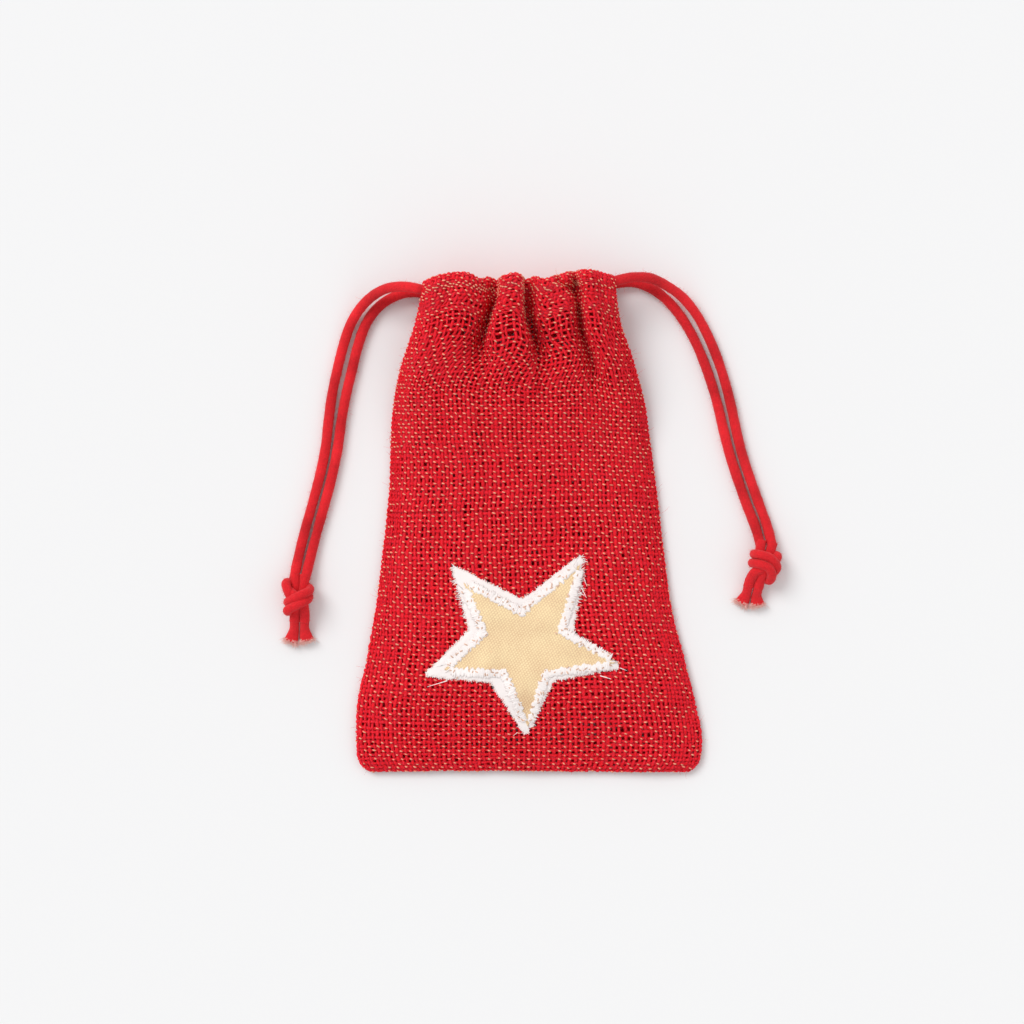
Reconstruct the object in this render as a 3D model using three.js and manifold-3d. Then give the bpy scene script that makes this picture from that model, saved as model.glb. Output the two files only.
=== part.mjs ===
// Fabric gift sack with two drawcords, lying on its back with its mouth towards +Y. Millimetres, +Z up.
// The origin is the middle of the sack's footprint, on the surface that it lies on.
import * as THREE from 'three';
import * as BufferGeometryUtils from 'three/addons/utils/BufferGeometryUtils.js';
import Module from 'manifold-3d';

const wasm = await Module();
wasm.setup();

// Sack body
const CLOTH = 1.0;                  // thickness of one layer of the coarse cloth
const GAP = 0.3;                    // air between pieces that touch on the real sack
const BODY_TOP = 64.7;              // where the panels meet the casings
const BODY_BOTTOM = -75.0;          // the folded bottom edge
const CORNER_RADIUS = 4.5;          // roundness of the two bottom corners
const EDGE_HEIGHT = 3.6;            // top of the front panel along the side and bottom edges
const PUFF = 7.5;                   // how far the front panel stands up over its edges in the middle
const MOUTH_LIFT = 9.2;             // how far the side edges climb towards the gathered mouth
const SEAM_WIDTH = 5.0;             // width of the allowances folded inside the seams
const SEAM_INSET = 0.5;             // how far the allowances start inside the edge of the sack
const ROW_PACKING = 1.35;           // how much closer the rows of a panel are at the rounded corners

// Outline of the sack, as y and x of each side from the bottom corner to the gathered mouth
const LEFT_SIDE = [
  [-75, -50.6], [-66, -51.6], [-55, -51.2], [-42, -48.6], [-28, -45.9], [-7, -43.2],
  [9, -41.6], [33, -40.4], [47, -37.8], [60, -33.6], [75, -30.3],
];
const RIGHT_SIDE = [
  [-75, 50.6], [-66, 51.6], [-55, 49.8], [-42, 46.4], [-28, 42.8], [-12, 40.4],
  [7, 38.1], [25, 35.7], [35, 34.2], [48, 30.6], [60, 26.6], [75, 24.6],
];

// Casings: two flat tunnels at the mouth, which hold the cords
const MOUTH_LEFT = -30.0;
const MOUTH_RIGHT = 24.6;
const CASING_BOTTOM = 65.0;         // lower edge of both tunnels, in y
const CASING_TOP = 75.0;            // folded top edge of both tunnels, in y
const CASING_DEPTH = 5.2;           // height of one tunnel
const CASING_WALL = 0.8;
const CASING_ROUND = 1.6;           // outer corner radius of a tunnel's section
const CASING_INNER_ROUND = 0.9;
const MOUTH_GAP = 5.1;              // open height between the two tunnels
const NOTCH = 7.3;                  // length of the open inner side at each end of a tunnel
const NOTCH_MARGIN = 1.1;           // cloth left in y on each side of that opening
const STITCH_RISE = 2.2;            // how far the sewn line lies above a tunnel's lower edge
const SEAM_HEAD = [3.5, 7.0, 3.2];  // size of the top end of a side seam, in x, y and z
const SEAM_HEAD_INSET = 6.4;        // from the end of the tunnels to the middle of a seam head

// Drawcords
const CORD = 3.0;                   // diameter
const CORD_SIDES = 8;
const LEFT_CORD_Y = 68.4;           // where the left cord runs in the tunnels
const RIGHT_CORD_Y = 71.8;          // where the right cord runs in the tunnels
const BACK_RUN_Z = CASING_DEPTH / 2;
const FRONT_RUN_Z = CASING_DEPTH * 1.5 + MOUTH_GAP;
const BEND_RADIUS = (FRONT_RUN_Z - BACK_RUN_Z) / 2;
const KNOT_LENGTH = 12.0;
const KNOT_RADIUS = 4.6;
const KNOT_FACE = 3.5;              // radius of the flat ends of a knot
const KNOT_WAIST = 3.9;             // radius in the middle of a knot
const KNOT_Z = 4.7;
const CORD_EXIT = 0.2;              // how far the runs reach out of the tunnels
const BEND_PLAY = 0.15;             // air between the far bend and the end of the tunnels
const RUN_END = 0.2;                // air between a run's end and the start of its far bend
const TAIL_APART = 1.9;             // from a knot's middle line to each of its two tails
const TAIL_START = 0.9;             // air between a knot and its tails
const SHORT_TAIL = 0.92;            // length of the inner tail as a share of the outer one

// Star patch, as x and y of the middle, tips and notches
const STAR_MIDDLE = [-1.8, -37.4];
const BACKING_OUTLINE = [
  [-23.2, -12.9], [-2.0, -23.5], [16.0, -9.8], [13.1, -33.4], [27.5, -43.5],
  [7.2, -47.4], [-0.9, -64.4], [-11.3, -47.9], [-31.5, -46.1], [-17.7, -32.5],
];
const FACE_OUTLINE = [
  [-18.1, -19.9], [-2.0, -28.3], [14.0, -14.6], [8.5, -33.2], [23.7, -41.9],
  [4.4, -44.4], [-0.5, -59.3], [-6.7, -44.4], [-23.4, -43.7], [-12.2, -33.6],
];
const BACKING_THICKNESS = 0.6;
const FACE_THICKNESS = 0.4;
const STITCH = 0.6;                 // thickness of a sewn line of thread
const STAR_STITCH_OUTER = 0.9;      // share of the way from the star's middle to the edge of its face
const STAR_STITCH_INNER = 0.85;
const EDGE_PARTS = 4;               // parts that each straight edge of the star is divided into

// Free ends of the cords, from the mouth down to the knots
const LEFT_UPPER_ROUTE = [
  [-30.5, 68.4, 12.9], [-36.5, 69.2, 12.1], [-41.8, 69.0, 9.8], [-46.4, 67.0, 6.6], [-50.4, 63.4, 3.8],
  [-53.4, 58.6, 2.1], [-55.4, 53.0, 1.6], [-57.2, 46.0, 1.55], [-58.9, 38.0, 1.55], [-60.0, 30.0, 1.55],
  [-60.9, 22.0, 1.55], [-62.5, 14.0, 1.55], [-64.6, 6.0, 1.55], [-66.8, -2.0, 1.55], [-68.8, -10.0, 1.9],
  [-70.3, -17.5, 3.2],
];
const LEFT_LOWER_ROUTE = [
  [-30.5, 68.4, 2.6], [-36.0, 68.2, 2.3], [-41.0, 66.7, 1.8], [-45.4, 63.6, 1.55], [-48.7, 59.0, 1.55],
  [-51.0, 53.0, 1.55], [-52.9, 45.5, 1.55], [-54.8, 37.5, 1.55], [-56.2, 29.7, 1.55], [-57.3, 21.6, 1.55],
  [-59.0, 13.3, 1.55], [-61.1, 5.2, 1.55], [-63.3, -2.8, 1.55], [-65.3, -10.6, 1.9], [-66.9, -17.5, 3.2],
];
const RIGHT_UPPER_ROUTE = [
  [25.1, 71.8, 12.9], [30.8, 73.0, 12.2], [36.2, 72.6, 10.0], [41.2, 70.2, 6.9], [45.8, 66.6, 4.2],
  [49.8, 62.0, 2.4], [53.0, 56.4, 1.7], [55.8, 50.0, 1.55], [58.2, 43.0, 1.55], [60.2, 35.5, 1.55],
  [61.8, 28.0, 1.55], [63.6, 20.5, 1.55], [66.0, 13.0, 1.55], [68.6, 5.6, 1.6], [71.2, -1.6, 2.0],
  [72.7, -7.9, 3.2],
];
const RIGHT_LOWER_ROUTE = [
  [25.1, 71.8, 2.6], [30.6, 71.9, 2.3], [36.0, 70.0, 1.8], [40.8, 66.4, 1.55], [44.8, 61.9, 1.55],
  [48.2, 56.6, 1.55], [51.2, 50.4, 1.55], [53.9, 43.2, 1.55], [56.2, 35.6, 1.55], [58.1, 27.6, 1.55],
  [60.2, 19.4, 1.55], [62.6, 12.0, 1.55], [65.2, 4.6, 1.6], [67.8, -2.2, 2.0], [69.2, -7.5, 3.2],
];
const LEFT_KNOT = { entry: [-69.5, -17.9], exit: [-69.2, -29.9] };
const RIGHT_KNOT = { entry: [70.8, -8.7], exit: [68.4, -20.4] };

const sack = new THREE.Group();

function addPiece(name, geometry, material) {
  const mesh = new THREE.Mesh(geometry, material);
  mesh.name = name;
  sack.add(mesh);
}

const redCloth = () => new THREE.MeshStandardMaterial({ color: 0xb3121f, roughness: 0.9, metalness: 0 });
const redThread = () => new THREE.MeshStandardMaterial({ color: 0xa01018, roughness: 0.7, metalness: 0 });
const redCotton = () => new THREE.MeshStandardMaterial({ color: 0xc8202a, roughness: 0.85, metalness: 0 });
const whiteCotton = () => new THREE.MeshStandardMaterial({ color: 0xf2efee, roughness: 0.9, metalness: 0 });
const goldCloth = () => new THREE.MeshStandardMaterial({ color: 0xd9b878, roughness: 0.5, metalness: 0.3 });

function smoothstep(low, high, value) {
  const t = Math.min(1, Math.max(0, (value - low) / (high - low)));
  return t * t * (3 - 2 * t);
}

// x of a side at height y: a smooth curve through the side's points, drawn in at the bottom corner
function sideX(points, y) {
  const curve = new THREE.SplineCurve(points.map(([py, px]) => new THREE.Vector2(py, px)));
  const last = points.length - 1;
  let segment = 0;
  while (segment < last - 1 && points[segment + 1][0] < y) {
    segment += 1;
  }
  let low = segment / last;
  let high = (segment + 1) / last;
  for (let step = 0; step < 30; step += 1) {
    const middle = (low + high) / 2;
    if (curve.getPoint(middle).x < y) {
      low = middle;
    } else {
      high = middle;
    }
  }
  const above = Math.min(CORNER_RADIUS, y - BODY_BOTTOM);
  const short = CORNER_RADIUS - above;
  const drawnIn = CORNER_RADIUS - Math.sqrt(CORNER_RADIUS ** 2 - short ** 2);
  const x = curve.getPoint(low).y;
  return x - Math.sign(x) * drawnIn;
}

const sides = (y) => [sideX(LEFT_SIDE, y), sideX(RIGHT_SIDE, y)];

// Height of the front panel's outer face, a share s of the way across from left to right
function frontHeight(s, y) {
  const climb = MOUTH_LIFT * smoothstep(18, 62, y);
  const puff = PUFF * smoothstep(BODY_BOTTOM, -45, y) * (1 - 0.9 * smoothstep(25, 62, y));
  return EDGE_HEIGHT + climb + puff * (1 - Math.abs(2 * s - 1) ** 3);
}

function frontHeightAt(x, y) {
  const [left, right] = sides(y);
  return frontHeight((x - left) / (right - left), y);
}

// Closed solid between two grids of points that share the same columns and rows
function slab(columns, rows, place) {
  const positions = [];
  const indices = [];
  const at = (i, j, layer) => (layer * (rows + 1) + j) * (columns + 1) + i;
  for (const layer of [0, 1]) {
    for (let j = 0; j <= rows; j += 1) {
      for (let i = 0; i <= columns; i += 1) {
        positions.push(...place(i / columns, j / rows, layer));
      }
    }
  }
  const quad = (a, b, c, d) => indices.push(a, b, c, a, c, d);
  for (let j = 0; j < rows; j += 1) {
    for (let i = 0; i < columns; i += 1) {
      quad(at(i, j, 1), at(i + 1, j, 1), at(i + 1, j + 1, 1), at(i, j + 1, 1));
      quad(at(i, j, 0), at(i, j + 1, 0), at(i + 1, j + 1, 0), at(i + 1, j, 0));
    }
  }
  for (let i = 0; i < columns; i += 1) {
    quad(at(i, 0, 0), at(i + 1, 0, 0), at(i + 1, 0, 1), at(i, 0, 1));
    quad(at(i + 1, rows, 0), at(i, rows, 0), at(i, rows, 1), at(i + 1, rows, 1));
  }
  for (let j = 0; j < rows; j += 1) {
    quad(at(0, j + 1, 0), at(0, j, 0), at(0, j, 1), at(0, j + 1, 1));
    quad(at(columns, j, 0), at(columns, j + 1, 0), at(columns, j + 1, 1), at(columns, j, 1));
  }
  const geometry = new THREE.BufferGeometry();
  geometry.setAttribute('position', new THREE.Float32BufferAttribute(positions, 3));
  geometry.setIndex(indices);
  geometry.computeVertexNormals();
  return geometry;
}

// Rows are closer together at the rounded bottom corners
const rowHeight = (t) => BODY_BOTTOM + (BODY_TOP - BODY_BOTTOM) * t ** ROW_PACKING;

function panel(heightOf) {
  return slab(20, 24, (s, t, layer) => {
    const y = rowHeight(t);
    const [left, right] = sides(y);
    return [left + (right - left) * s, y, heightOf(s, y, layer)];
  });
}

function addPanels() {
  addPiece('back_panel', panel((s, y, layer) => layer * CLOTH), redCloth());
  addPiece('front_panel', panel((s, y, layer) => frontHeight(s, y) - (1 - layer) * CLOTH), redCloth());
}

// Allowances of the seams, folded flat between the two panels
function seamHeight(x, y, layer) {
  return layer ? frontHeightAt(x, y) - CLOTH - GAP : CLOTH + GAP;
}

function sideSeam(points, inward) {
  const bottom = BODY_BOTTOM + SEAM_WIDTH + 2 * SEAM_INSET;
  const top = BODY_TOP - SEAM_INSET;
  return slab(3, 20, (s, t, layer) => {
    const y = bottom + (top - bottom) * t;
    const edge = sideX(points, y) + inward * SEAM_INSET;
    const x = inward > 0 ? edge + SEAM_WIDTH * s : edge - SEAM_WIDTH * (1 - s);
    return [x, y, seamHeight(x, y, layer)];
  });
}

function bottomSeam() {
  const shortened = 3 * SEAM_INSET;
  return slab(20, 3, (s, t, layer) => {
    const y = BODY_BOTTOM + SEAM_INSET + (SEAM_WIDTH - SEAM_INSET) * t;
    const [left, right] = sides(y);
    const x = left + shortened + (right - left - 2 * shortened) * s;
    return [x, y, seamHeight(x, y, layer)];
  });
}

function addSeams() {
  addPiece('left_side_seam', sideSeam(LEFT_SIDE, 1), redCloth());
  addPiece('right_side_seam', sideSeam(RIGHT_SIDE, -1), redCloth());
  addPiece('bottom_seam', bottomSeam(), redCloth());
}

// A solid from a closed mesh, for cutting
function solidOf(geometry) {
  const bare = geometry.clone();
  bare.deleteAttribute('normal');
  bare.deleteAttribute('uv');
  const merged = BufferGeometryUtils.mergeVertices(bare, 1e-4);
  const triVerts = new Uint32Array(merged.index.array);
  const vertProperties = new Float32Array(merged.attributes.position.array);
  return new wasm.Manifold(new wasm.Mesh({ numProp: 3, vertProperties, triVerts }));
}

function geometryOf(solid) {
  const { vertProperties, triVerts } = solid.getMesh();
  const geometry = new THREE.BufferGeometry();
  geometry.setAttribute('position', new THREE.BufferAttribute(new Float32Array(vertProperties), 3));
  geometry.setIndex(new THREE.BufferAttribute(new Uint32Array(triVerts), 1));
  geometry.computeVertexNormals();
  return geometry;
}

function roundedBox(width, height, radius, Path) {
  const path = new Path();
  const x = width / 2 - radius;
  const y = height / 2 - radius;
  path.moveTo(-x, -height / 2);
  path.lineTo(x, -height / 2);
  path.absarc(x, -y, radius, -Math.PI / 2, 0);
  path.lineTo(width / 2, y);
  path.absarc(x, y, radius, 0, Math.PI / 2);
  path.lineTo(-x, height / 2);
  path.absarc(-x, y, radius, Math.PI / 2, Math.PI);
  path.lineTo(-width / 2, -y);
  path.absarc(-x, -y, radius, Math.PI, Math.PI * 1.5);
  return path;
}

// A flat tunnel along X, whose inner side is left open at both ends so that a cord can turn there
function casing(middleZ, innerSide) {
  const width = CASING_TOP - CASING_BOTTOM;
  const shape = roundedBox(CASING_DEPTH, width, CASING_ROUND, THREE.Shape);
  const [innerDepth, innerWidth] = [CASING_DEPTH - 2 * CASING_WALL, width - 2 * CASING_WALL];
  shape.holes.push(roundedBox(innerDepth, innerWidth, CASING_INNER_ROUND, THREE.Path));
  const length = MOUTH_RIGHT - MOUTH_LEFT;
  const tunnel = new THREE.ExtrudeGeometry(shape, { depth: length, bevelEnabled: false, curveSegments: 4 });
  tunnel.rotateY(Math.PI / 2);
  tunnel.translate(MOUTH_LEFT, (CASING_TOP + CASING_BOTTOM) / 2, middleZ);
  let solid = solidOf(tunnel);
  for (const end of [MOUTH_LEFT, MOUTH_RIGHT]) {
    const notch = new THREE.BoxGeometry(NOTCH * 2, width - 2 * NOTCH_MARGIN, CASING_DEPTH / 2);
    notch.translate(end, (CASING_TOP + CASING_BOTTOM) / 2, middleZ + innerSide * (CASING_DEPTH / 2));
    solid = solid.subtract(solidOf(notch));
  }
  return geometryOf(solid);
}

// The sewn line that closes a tunnel, one thread that lies on it along its lower edge, short of its ends
function casingStitching(top, short) {
  const thread = new THREE.BoxGeometry(MOUTH_RIGHT - MOUTH_LEFT - 2 * short, STITCH, STITCH);
  const z = top + GAP / 2 + STITCH / 2;
  thread.translate((MOUTH_RIGHT + MOUTH_LEFT) / 2, CASING_BOTTOM + STITCH_RISE, z);
  return thread;
}

function addCasings() {
  const frontTop = CASING_DEPTH * 2 + MOUTH_GAP;
  const backShort = NOTCH + 1;
  const frontShort = 2;
  addPiece('back_casing', casing(BACK_RUN_Z, 1), redCloth());
  addPiece('front_casing', casing(FRONT_RUN_Z, -1), redCloth());
  addPiece('back_casing_stitching', casingStitching(CASING_DEPTH, backShort), redThread());
  addPiece('front_casing_stitching', casingStitching(frontTop, frontShort), redThread());
}

// The top end of each side seam, which the far bend of the opposite cord pulls on
function addSeamHeads() {
  const places = {
    left_seam_head: MOUTH_LEFT + SEAM_HEAD_INSET,
    right_seam_head: MOUTH_RIGHT - SEAM_HEAD_INSET,
  };
  for (const [name, x] of Object.entries(places)) {
    const head = new THREE.BoxGeometry(...SEAM_HEAD);
    head.translate(x, (LEFT_CORD_Y + RIGHT_CORD_Y) / 2, (BACK_RUN_Z + FRONT_RUN_Z) / 2);
    addPiece(name, head, redCloth());
  }
}

// Outline points with the straight edges divided
function dividedOutline(outline) {
  const points = [];
  outline.forEach(([x0, y0], index) => {
    const [x1, y1] = outline[(index + 1) % outline.length];
    for (let k = 0; k < EDGE_PARTS; k += 1) {
      const share = k / EDGE_PARTS;
      points.push([x0 + (x1 - x0) * share, y0 + (y1 - y0) * share]);
    }
  });
  return points;
}

// A point a share of the way from the middle of the star to a point of its rim
function towardsRim([x, y], share) {
  return [STAR_MIDDLE[0] + (x - STAR_MIDDLE[0]) * share, STAR_MIDDLE[1] + (y - STAR_MIDDLE[1]) * share];
}

// A star-shaped plate that follows the front panel, lift above it
function starPlate(outline, lift, thickness) {
  const rim = dividedOutline(outline);
  const rings = 5;
  const positions = [];
  const indices = [];
  const count = rim.length;
  const place = ([x, y], layer) => positions.push(x, y, frontHeightAt(x, y) + lift + layer * thickness);
  for (const layer of [0, 1]) {
    place(STAR_MIDDLE, layer);
    for (let ring = 1; ring <= rings; ring += 1) {
      for (const point of rim) {
        place(towardsRim(point, ring / rings), layer);
      }
    }
  }
  const at = (layer, ring, k) => {
    const base = layer * (1 + rings * count);
    return ring === 0 ? base : base + 1 + (ring - 1) * count + (k % count);
  };
  const face = (layer, a, b, c) => (layer ? indices.push(a, c, b) : indices.push(a, b, c));
  for (const layer of [0, 1]) {
    for (let k = 0; k < count; k += 1) {
      face(layer, at(layer, 0, 0), at(layer, 1, k), at(layer, 1, k + 1));
      for (let ring = 1; ring < rings; ring += 1) {
        face(layer, at(layer, ring, k), at(layer, ring + 1, k), at(layer, ring + 1, k + 1));
        face(layer, at(layer, ring, k), at(layer, ring + 1, k + 1), at(layer, ring, k + 1));
      }
    }
  }
  for (let k = 0; k < count; k += 1) {
    indices.push(at(0, rings, k), at(1, rings, k), at(1, rings, k + 1));
    indices.push(at(0, rings, k), at(1, rings, k + 1), at(0, rings, k + 1));
  }
  const geometry = new THREE.BufferGeometry();
  geometry.setAttribute('position', new THREE.Float32BufferAttribute(positions, 3));
  geometry.setIndex(indices);
  geometry.computeVertexNormals();
  return geometry;
}

// One thread that runs round the star just inside the edge of its face
function starStitching(lift) {
  const path = dividedOutline(FACE_OUTLINE);
  const count = path.length;
  const positions = [];
  const indices = [];
  for (const share of [STAR_STITCH_OUTER, STAR_STITCH_INNER]) {
    for (const layer of [0, 1]) {
      for (const point of path) {
        const [x, y] = towardsRim(point, share);
        positions.push(x, y, frontHeightAt(x, y) + lift + layer * STITCH);
      }
    }
  }
  const at = (loop, k) => loop * count + (k % count);
  const ring = (a, b) => {
    for (let k = 0; k < count; k += 1) {
      indices.push(at(a, k), at(b, k), at(b, k + 1), at(a, k), at(b, k + 1), at(a, k + 1));
    }
  };
  ring(0, 1);
  ring(1, 3);
  ring(3, 2);
  ring(2, 0);
  const geometry = new THREE.BufferGeometry();
  geometry.setAttribute('position', new THREE.Float32BufferAttribute(positions, 3));
  geometry.setIndex(indices);
  geometry.computeVertexNormals();
  return geometry;
}

function addStar() {
  const faceLift = GAP + BACKING_THICKNESS + GAP;
  addPiece('star_backing', starPlate(BACKING_OUTLINE, GAP, BACKING_THICKNESS), whiteCotton());
  addPiece('star_face', starPlate(FACE_OUTLINE, faceLift, FACE_THICKNESS), goldCloth());
  addPiece('star_stitching', starStitching(faceLift + FACE_THICKNESS + GAP), whiteCotton());
}

// A cord's section swept along a curve
function cordAlong(curve, steps) {
  const section = new THREE.Shape();
  for (let k = 0; k < CORD_SIDES; k += 1) {
    const angle = ((k + 0.5) / CORD_SIDES) * Math.PI * 2;
    const x = (CORD / 2) * Math.cos(angle);
    const y = (CORD / 2) * Math.sin(angle);
    if (k === 0) {
      section.moveTo(x, y);
    } else {
      section.lineTo(x, y);
    }
  }
  return new THREE.ExtrudeGeometry(section, { steps, bevelEnabled: false, extrudePath: curve });
}

function routeCurve(route) {
  return new THREE.CatmullRomCurve3(route.map((p) => new THREE.Vector3(...p)), false, 'centripetal');
}

function straightCord(x0, x1, y, z) {
  return cordAlong(new THREE.LineCurve3(new THREE.Vector3(x0, y, z), new THREE.Vector3(x1, y, z)), 1);
}

// Half a turn round a seam head, from the front run to the back run
function farBend(x, y, outward) {
  const middle = (BACK_RUN_Z + FRONT_RUN_Z) / 2;
  const steps = 12;
  const points = [];
  for (let k = 0; k <= steps; k += 1) {
    const angle = Math.PI / 2 - (k / steps) * Math.PI;
    points.push([x + outward * BEND_RADIUS * Math.cos(angle), y, middle + BEND_RADIUS * Math.sin(angle)]);
  }
  return cordAlong(routeCurve(points), steps);
}

// A knot as a waisted lump with flat ends, lying along the line from its entry to its exit
function knot(place) {
  const half = KNOT_LENGTH / 2;
  const profile = [
    [0, -half], [KNOT_FACE, -half], [KNOT_RADIUS, -half * 0.7], [KNOT_RADIUS, -half * 0.3],
    [KNOT_WAIST, 0], [KNOT_RADIUS, half * 0.3], [KNOT_RADIUS, half * 0.7], [KNOT_FACE, half], [0, half],
  ];
  const lump = new THREE.LatheGeometry(profile.map(([r, y]) => new THREE.Vector2(r, y)), 16);
  const [dx, dy] = [place.exit[0] - place.entry[0], place.exit[1] - place.entry[1]];
  lump.rotateZ(Math.atan2(dy, dx) + Math.PI / 2);
  lump.translate((place.entry[0] + place.exit[0]) / 2, (place.entry[1] + place.exit[1]) / 2, KNOT_Z);
  return lump;
}

// A short free end of cord beyond a knot, offset to one side of the knot's line
function tail(place, offset, splay, length) {
  const [dx, dy] = [place.exit[0] - place.entry[0], place.exit[1] - place.entry[1]];
  const direction = new THREE.Vector2(dx, dy).normalize();
  const across = new THREE.Vector2(-direction.y, direction.x);
  const at = (along, sideways, z) => [
    place.exit[0] + direction.x * along + across.x * sideways,
    place.exit[1] + direction.y * along + across.y * sideways, z,
  ];
  const route = [
    at(TAIL_START, offset, 3.0), at(length * 0.4, offset * 1.05, 2.2), at(length, offset + splay, 1.6),
  ];
  return cordAlong(routeCurve(route), 4);
}

function addCord(side) {
  const { name, y, exitX, bendX, outward, upper, lower, place, splay, tailLength } = side;
  const runEnd = bendX - outward * RUN_END;
  addPiece(`${name}_cord_front_run`, straightCord(exitX, runEnd, y, FRONT_RUN_Z), redCotton());
  addPiece(`${name}_cord_back_run`, straightCord(exitX, runEnd, y, BACK_RUN_Z), redCotton());
  addPiece(`${name}_cord_far_bend`, farBend(bendX + (outward * RUN_END) / 2, y, outward), redCotton());
  addPiece(`${name}_cord_upper_strand`, cordAlong(routeCurve(upper), 40), redCotton());
  addPiece(`${name}_cord_lower_strand`, cordAlong(routeCurve(lower), 40), redCotton());
  addPiece(`${name}_knot`, knot(place), redCotton());
  const shorter = tailLength * SHORT_TAIL;
  addPiece(`${name}_tail_outer`, tail(place, TAIL_APART, splay, tailLength), redCotton());
  addPiece(`${name}_tail_inner`, tail(place, -TAIL_APART, -splay, shorter), redCotton());
}

function addCords() {
  const reach = BEND_RADIUS + CORD / 2 + BEND_PLAY;
  addCord({
    name: 'left', y: LEFT_CORD_Y, exitX: MOUTH_LEFT - CORD_EXIT, bendX: MOUTH_RIGHT - reach, outward: 1,
    upper: LEFT_UPPER_ROUTE, lower: LEFT_LOWER_ROUTE, place: LEFT_KNOT, splay: 0.7, tailLength: 6.6,
  });
  addCord({
    name: 'right', y: RIGHT_CORD_Y, exitX: MOUTH_RIGHT + CORD_EXIT, bendX: MOUTH_LEFT + reach, outward: -1,
    upper: RIGHT_UPPER_ROUTE, lower: RIGHT_LOWER_ROUTE, place: RIGHT_KNOT, splay: 0.6, tailLength: 5.2,
  });
}

addPanels();
addSeams();
addCasings();
addSeamHeads();
addStar();
addCords();

export default sack;
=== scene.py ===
"""Fabric gift sack with two drawcords and a star patch, built of woven yarns around a fixed frame.

Lengths in the working functions are millimetres and meshes are metres, in the frame's own axes:
+Y towards the mouth, +Z up through the front, which carries the star.
"""
import math

import bpy
import numpy as np
from bpy.props import FloatProperty, FloatVectorProperty, IntProperty, PointerProperty
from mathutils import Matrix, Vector


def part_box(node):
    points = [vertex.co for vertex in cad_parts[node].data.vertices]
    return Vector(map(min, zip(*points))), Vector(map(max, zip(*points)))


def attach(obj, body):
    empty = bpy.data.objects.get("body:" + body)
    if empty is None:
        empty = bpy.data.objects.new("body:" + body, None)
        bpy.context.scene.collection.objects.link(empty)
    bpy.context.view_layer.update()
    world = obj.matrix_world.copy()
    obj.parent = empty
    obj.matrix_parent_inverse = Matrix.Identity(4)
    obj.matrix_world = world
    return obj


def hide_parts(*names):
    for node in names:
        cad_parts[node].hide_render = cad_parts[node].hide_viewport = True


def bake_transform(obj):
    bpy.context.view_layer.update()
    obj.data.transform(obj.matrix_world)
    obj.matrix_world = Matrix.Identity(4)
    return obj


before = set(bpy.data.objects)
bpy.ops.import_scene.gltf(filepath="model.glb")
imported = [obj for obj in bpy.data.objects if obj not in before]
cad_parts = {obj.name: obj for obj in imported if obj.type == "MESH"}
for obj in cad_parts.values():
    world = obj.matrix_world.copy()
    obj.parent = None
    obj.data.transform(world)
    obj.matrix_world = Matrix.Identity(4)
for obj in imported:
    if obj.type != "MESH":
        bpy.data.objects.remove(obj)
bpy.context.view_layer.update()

bl_info = {
    "name": "Fabric gift sack",
    "version": (1, 0, 0),
    "blender": (4, 5, 0),
    "location": "3D View > Sidebar > Gift Sack",
    "description": "Builds a woven gift sack with drawcords, knots and a frayed star patch",
    "category": "Add Mesh",
}

MM = 0.001

# Outline of the sack, as y and x of each side, from the bottom corner to the gathered mouth
LEFT_SIDE = [
    (-75, -50.6), (-66, -51.6), (-55, -51.2), (-42, -48.6), (-28, -45.9), (-7, -43.2),
    (9, -41.6), (33, -40.4), (47, -37.8), (60, -33.6), (75, -30.3),
]
RIGHT_SIDE = [
    (-75, 50.6), (-66, 51.6), (-55, 49.8), (-42, 46.4), (-28, 42.8), (-12, 40.4),
    (7, 38.1), (25, 35.7), (35, 34.2), (48, 30.6), (60, 26.6), (75, 24.6),
]
BOTTOM = -75.0
CORNER_RADIUS = 4.5
MOUTH_MIDDLE = -2.7

# Edge of the mouth, as x and y, and how round its fold is
MOUTH_EDGE = [
    (-31, 70.4), (-27, 71.9), (-21, 73.1), (-17.5, 72.7), (-14.8, 71.3), (-12, 71.9), (-9.6, 71.2), (-7, 72.2),
    (-3.8, 72.8), (-1, 71.3), (1.5, 72.0), (4.5, 71.2), (8, 72.2), (14, 73.7), (19, 73.5), (25, 71.9),
]
FOLD_REACH = 2.2

# Cords in the casing: how far they sag in the middle, and the height the cloth keeps above them
RUN_SAG = 5.0
CORD_TOP_CLEAR = 15.1
CASING_THREAD = (0.42, 0.32)  # width and height of the thread that closes the casings
UPPER_START = 79              # length along the cloth, from the bottom, where the upper blocks start
CASING_INNER = 10.72

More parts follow.
